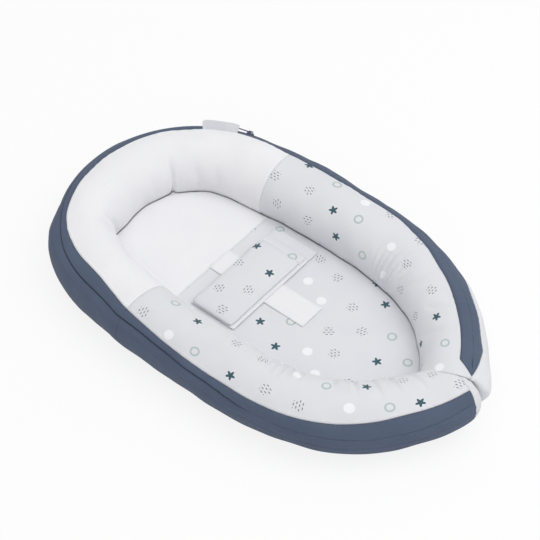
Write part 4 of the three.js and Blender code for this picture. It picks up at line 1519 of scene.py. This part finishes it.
def make_tag():
    def place_vertex(u, v):
        place = TAG_PLACE + (u - 0.5) * TAG_WIDTH
        base, _ = sample(place, seam(UPPER_SEAM, place), -0.0010)
        _, _, heading = centreline(place, RIGHT)
        lean = TAG_LEAN + 0.10 * np.sin(u * math.pi * 1.3 + 0.4) - 0.05
        side = np.stack([np.sin(heading), np.cos(heading), 0 * heading], -1)
        rise = np.array([0, 0, 1])
        up = side * np.cos(lean)[:, None] + rise * np.sin(lean)[:, None]
        face = rise * np.cos(lean)[:, None] - side * np.sin(lean)[:, None]
        run = np.abs(2 * v - 1)
        corner = 0.0022 * np.exp(-u / 0.06) + 0.0012 * np.exp(-(1 - u) / 0.05)
        height = (TAG_HEIGHT - TAG_LOOP - corner) * (1 - run)
        height = height + TAG_LOOP * np.sqrt(np.clip(1 - run * run, 0, 1))
        offset = np.sign(v - 0.5) * TAG_LOOP * np.clip(run * 6, 0, 1) ** 0.5
        belly = 0.0007 * np.sin(u * math.pi) * (1 - run)
        points = base + up * height[:, None] + face * (offset + belly)[:, None]
        return points, face * np.sign(v - 0.5)[:, None], np.stack([place, v * 2 * TAG_HEIGHT], -1)

    piece = grid_piece("seam_tag", 48, 40, place_vertex)
    thicken(piece, 0.0004)
    finish_piece(piece, TAG_CLOTH, "tag_tape", "root", ["tag"])


# Zip: a woven tape under the slit, two rows of coils on it, and the slider with its pull.
TAPE_HALF = 0.0070
TAPE_DEPTH = 0.0032
COIL_DEPTH = 0.0016
ZIP_LIFT = 0.00027
COIL_SIDE = 0.00075
COIL_HALVES = (0.00062, 0.00125, 0.00075)
COIL_TILT = 0.25


def make_zip():
    def place_vertex(u, v):
        place = ZIP_LEFT_END + (ZIP_RIGHT_END - ZIP_LEFT_END) * u
        turn = seam(ZIP_SEAM, place) + (2 * v - 1) * TAPE_HALF / HEAD_HALF_WIDTH
        return on_roll(place, turn, soft_lift(place, turn) - TAPE_DEPTH)

    tape = thicken(grid_piece("zip_tape", 240, 6, place_vertex), 0.0006)
    finish_piece(tape, SLATE_CLOTH, "slate_cloth", "root")

    bm = bmesh.new()
    places = np.arange(ZIP_LEFT_END + 0.002, ZIP_RIGHT_END - 0.002, ZIP_PITCH)
    turns = seam(ZIP_SEAM, places)
    spots, normals = sample(places, turns, soft_lift(places, turns) - COIL_DEPTH)
    ahead, _ = sample(places + 0.001, turns, soft_lift(places, turns) - COIL_DEPTH)
    for spot, normal, after in zip(spots, normals, ahead):
        up = Vector(normal)
        along = (Vector(after) - Vector(spot)).normalized()
        side = up.cross(along).normalized()
        turned = axes_matrix(along, side, up)
        for hand in (-1, 1):
            middle = Vector(spot) + side * hand * COIL_SIDE + along * hand * ZIP_PITCH / 4
            add_bead(bm, middle, turned @ Matrix.Rotation(hand * COIL_TILT, 4, "Z"), COIL_HALVES)
    finish_piece(take_mesh("zip_coils", bm), ZIP_COIL, "zip_chain", "root", ["zip_chain"])


# Slider and pull, made lying along X: length, width and height of the body and of its bridge, then the pull.
SLIDER = Vector((0.012, 0.009, 0.003))
BRIDGE = Vector((0.008, 0.002, 0.0036))
BRIDGE_BAR = 0.0012
PULL_END = -0.024
PULL_EYE = -0.008
PULL_WIDTH = 0.008
PULL_ARM = 0.0014


def zip_seat():
    """Where the slider sits on the zip: X along the zip, Y across it and Z off the roll."""
    distance = ZIP_RIGHT_END - SLIDER.x
    x, y, heading = (float(value) for value in centreline(np.array(distance), RIGHT))
    angle = float(seam(ZIP_SEAM, np.array([distance]))[0])
    out = Vector((math.sin(heading), math.cos(heading), 0))
    along = Vector((out.y, -out.x, 0))
    normal = out * math.cos(angle) * HEIGHT_SHARE + Vector((0, 0, math.sin(angle)))
    normal.normalize()
    seat = Vector((x, y, HEAD_HALF_HEIGHT - FLOOR_CUT)) + out * (HEAD_HALF_WIDTH + ZIP_LIFT) * math.cos(angle)
    seat.z += (HEAD_HALF_HEIGHT + ZIP_LIFT) * math.sin(angle)
    return Matrix.Translation(seat) @ axes_matrix(along, normal.cross(along), normal)


def add_block(bm, low, high):
    """Adds a block between two corners and gives its vertices."""
    size = Vector(high) - Vector(low)
    shape = Matrix.Translation((Vector(low) + Vector(high)) / 2) @ Matrix.Diagonal((*size, 1))
    return bmesh.ops.create_cube(bm, size=1.0, matrix=shape)["verts"]


def metal_piece(name, blocks, narrowed, share, rounding, node, on_zip):
    """Zip metal made of blocks: the first narrows to a share of its width where narrowed says so."""
    bm = bmesh.new()
    for number, corners in enumerate(blocks):
        verts = add_block(bm, *corners)
        if number == 0:
            for vert in filter(narrowed, verts):
                vert.co.y *= share
    round_edges(bm, list(bm.edges), rounding, 3)
    piece = take_mesh(name, bm)
    piece.data.transform(on_zip)
    finish_piece(piece, ZIP_METAL, "zip_metal", node, [node])


def make_slider():
    on_zip = zip_seat()
    top = SLIDER.z + BRIDGE.z
    post = top - BRIDGE_BAR / 2
    half, across = BRIDGE.x / 2, BRIDGE.y / 2
    metal_piece(
        "zip_slider_body",
        (
            ((-SLIDER.x / 2, -SLIDER.y / 2, 0), (SLIDER.x / 2, SLIDER.y / 2, SLIDER.z)),
            ((-half, -across, SLIDER.z / 2), (-half + BRIDGE_BAR, across, post)),
            ((half - BRIDGE_BAR, -across, SLIDER.z / 2), (half, across, post)),
            ((-half, -across, top - BRIDGE_BAR), (half, across, top)),
        ),
        lambda vert: vert.co.x > 0, 0.7, 0.0004, "zip_slider", on_zip,
    )
    middle = SLIDER.z + (BRIDGE.z - BRIDGE_BAR) / 2
    low, high = middle - PULL_ARM / 2, middle + PULL_ARM / 2
    side, arm = PULL_WIDTH / 2, PULL_ARM / 2
    eye = PULL_EYE - 0.0004
    metal_piece(
        "zip_pull_tab",
        (
            ((PULL_END, -side, low), (PULL_EYE, side, high)),
            ((eye, -side, low), (arm, -side + PULL_ARM, high)),
            ((eye, side - PULL_ARM, low), (arm, side, high)),
            ((-arm, -side + arm, low), (arm, side - arm, high)),
        ),
        lambda vert: vert.co.x < (PULL_END + PULL_EYE) / 2, 0.82, 0.00035, "zip_pull", on_zip,
    )


def make_discs():
    """Hook and loop discs on the two end faces."""
    for word, node, body, material, slot in (
        ("hook", "left_hook_disc", "left_foot", HOOK_TAPE, "hook_tape"),
        ("loop", "right_loop_disc", "right_foot", LOOP_TAPE, "loop_tape"),
    ):
        low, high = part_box(node)
        bm = bmesh.new()
        turned = Matrix.Translation((low + high) / 2) @ Matrix.Rotation(math.pi / 2, 4, "Y")
        radius = (high.y - low.y) / 2
        bmesh.ops.create_cone(
            bm, cap_ends=True, segments=48, radius1=radius, radius2=radius, depth=high.x - low.x,
            matrix=turned,
        )
        round_edges(bm, [edge for edge in bm.edges if edge.calc_face_angle() > 1], 0.0004, 2)
        finish_piece(take_mesh(f"{word}_fastener", bm), material, slot, body, [node])


# The camera as solved from the photograph: its angles, lens, the point it looks at and its distance from it.
CAMERA_AZIMUTH = math.radians(-50.19)
CAMERA_ELEVATION = math.radians(48.87)
CAMERA_LENS = 114.5
CAMERA_TARGET = Vector((-0.0039, -0.0011, 0.0929))
CAMERA_DISTANCE = 2.802

# Lamps: name, place, size in metres and power in watts. Then the point they face, how bright the surroundings
# are, and how white the camera sees the floor.
LAMPS = (
    ("key", (1.1, -1.5, 2.6), 2.2, 27.0),
    ("fill", (-1.1, -1.6, 2.5), 2.4, 5.0),
    ("top", (-0.2, 0.3, 2.9), 2.4, 17.0),
)
LAMP_TARGET = Vector((0, 0, 0.03))
SURROUND = 0.64
FLOOR_GLOW = 0.84


def aim(name, data, place, direction):
    """Adds a lamp or the camera, looking in a direction."""
    made = new_object(name, data)
    made.location = place
    made.rotation_euler = direction.to_track_quat("-Z", "Y").to_euler()
    return made


def make_studio():
    """Floor, lamps and the camera at the photograph's angle."""
    bm = bmesh.new()
    bmesh.ops.create_grid(bm, x_segments=1, y_segments=1, size=6.0)
    floor = take_mesh("floor", bm)
    material, tree, shader = start_material("floor_paper", 1.0)
    shader.inputs["Base Color"].default_value = (0.90, 0.90, 0.905, 1)
    shader.inputs["Specular IOR Level"].default_value = 0.0
    glow = tree.nodes.new("ShaderNodeEmission")
    path = tree.nodes.new("ShaderNodeLightPath")
    seen = maths(tree, "MAXIMUM", path.outputs["Is Camera Ray"], path.outputs["Is Glossy Ray"])
    seen = maths(tree, "MAXIMUM", seen, path.outputs["Is Transmission Ray"])
    blend = tree.nodes.new("ShaderNodeMixShader")
    tree.links.new(maths(tree, "MULTIPLY", seen, FLOOR_GLOW), blend.inputs[0])
    tree.links.new(shader.outputs[0], blend.inputs[1])
    tree.links.new(glow.outputs[0], blend.inputs[2])
    tree.links.new(blend.outputs[0], tree.nodes["Material Output"].inputs[0])
    floor.data.materials.append(material)

    world = bpy.data.worlds.new("studio")
    bpy.context.scene.world = world
    world.use_nodes = True
    background = world.node_tree.nodes["Background"]
    background.inputs["Color"].default_value = (1.0, 1.0, 1.0, 1)
    background.inputs["Strength"].default_value = SURROUND

    for name, place, size, power in LAMPS:
        lamp = bpy.data.lights.new(name, "AREA")
        lamp.size = size
        lamp.energy = power
        aim(name, lamp, place, LAMP_TARGET - Vector(place))

    level_back = Vector((math.sin(CAMERA_AZIMUTH), -math.cos(CAMERA_AZIMUTH), 0)) * math.cos(CAMERA_ELEVATION)
    back = level_back + Vector((0, 0, math.sin(CAMERA_ELEVATION)))
    camera = bpy.data.cameras.new("camera")
    camera.lens = CAMERA_LENS
    camera.sensor_width = 36.0
    bpy.context.scene.camera = aim("camera", camera, CAMERA_TARGET + back * CAMERA_DISTANCE, -back)
    bpy.context.scene.view_settings.view_transform = "Standard"


ROLL = build_roll()
INNER_FACE = find_inner_face()
make_studio()
make_covers()
make_end_cap(LEFT, "left")
make_end_cap(RIGHT, "right")
make_stuffing()
make_roll_stitching()
make_mattress()
make_sheets()
make_wrap()
make_tag()
make_zip()
make_slider()
make_discs()
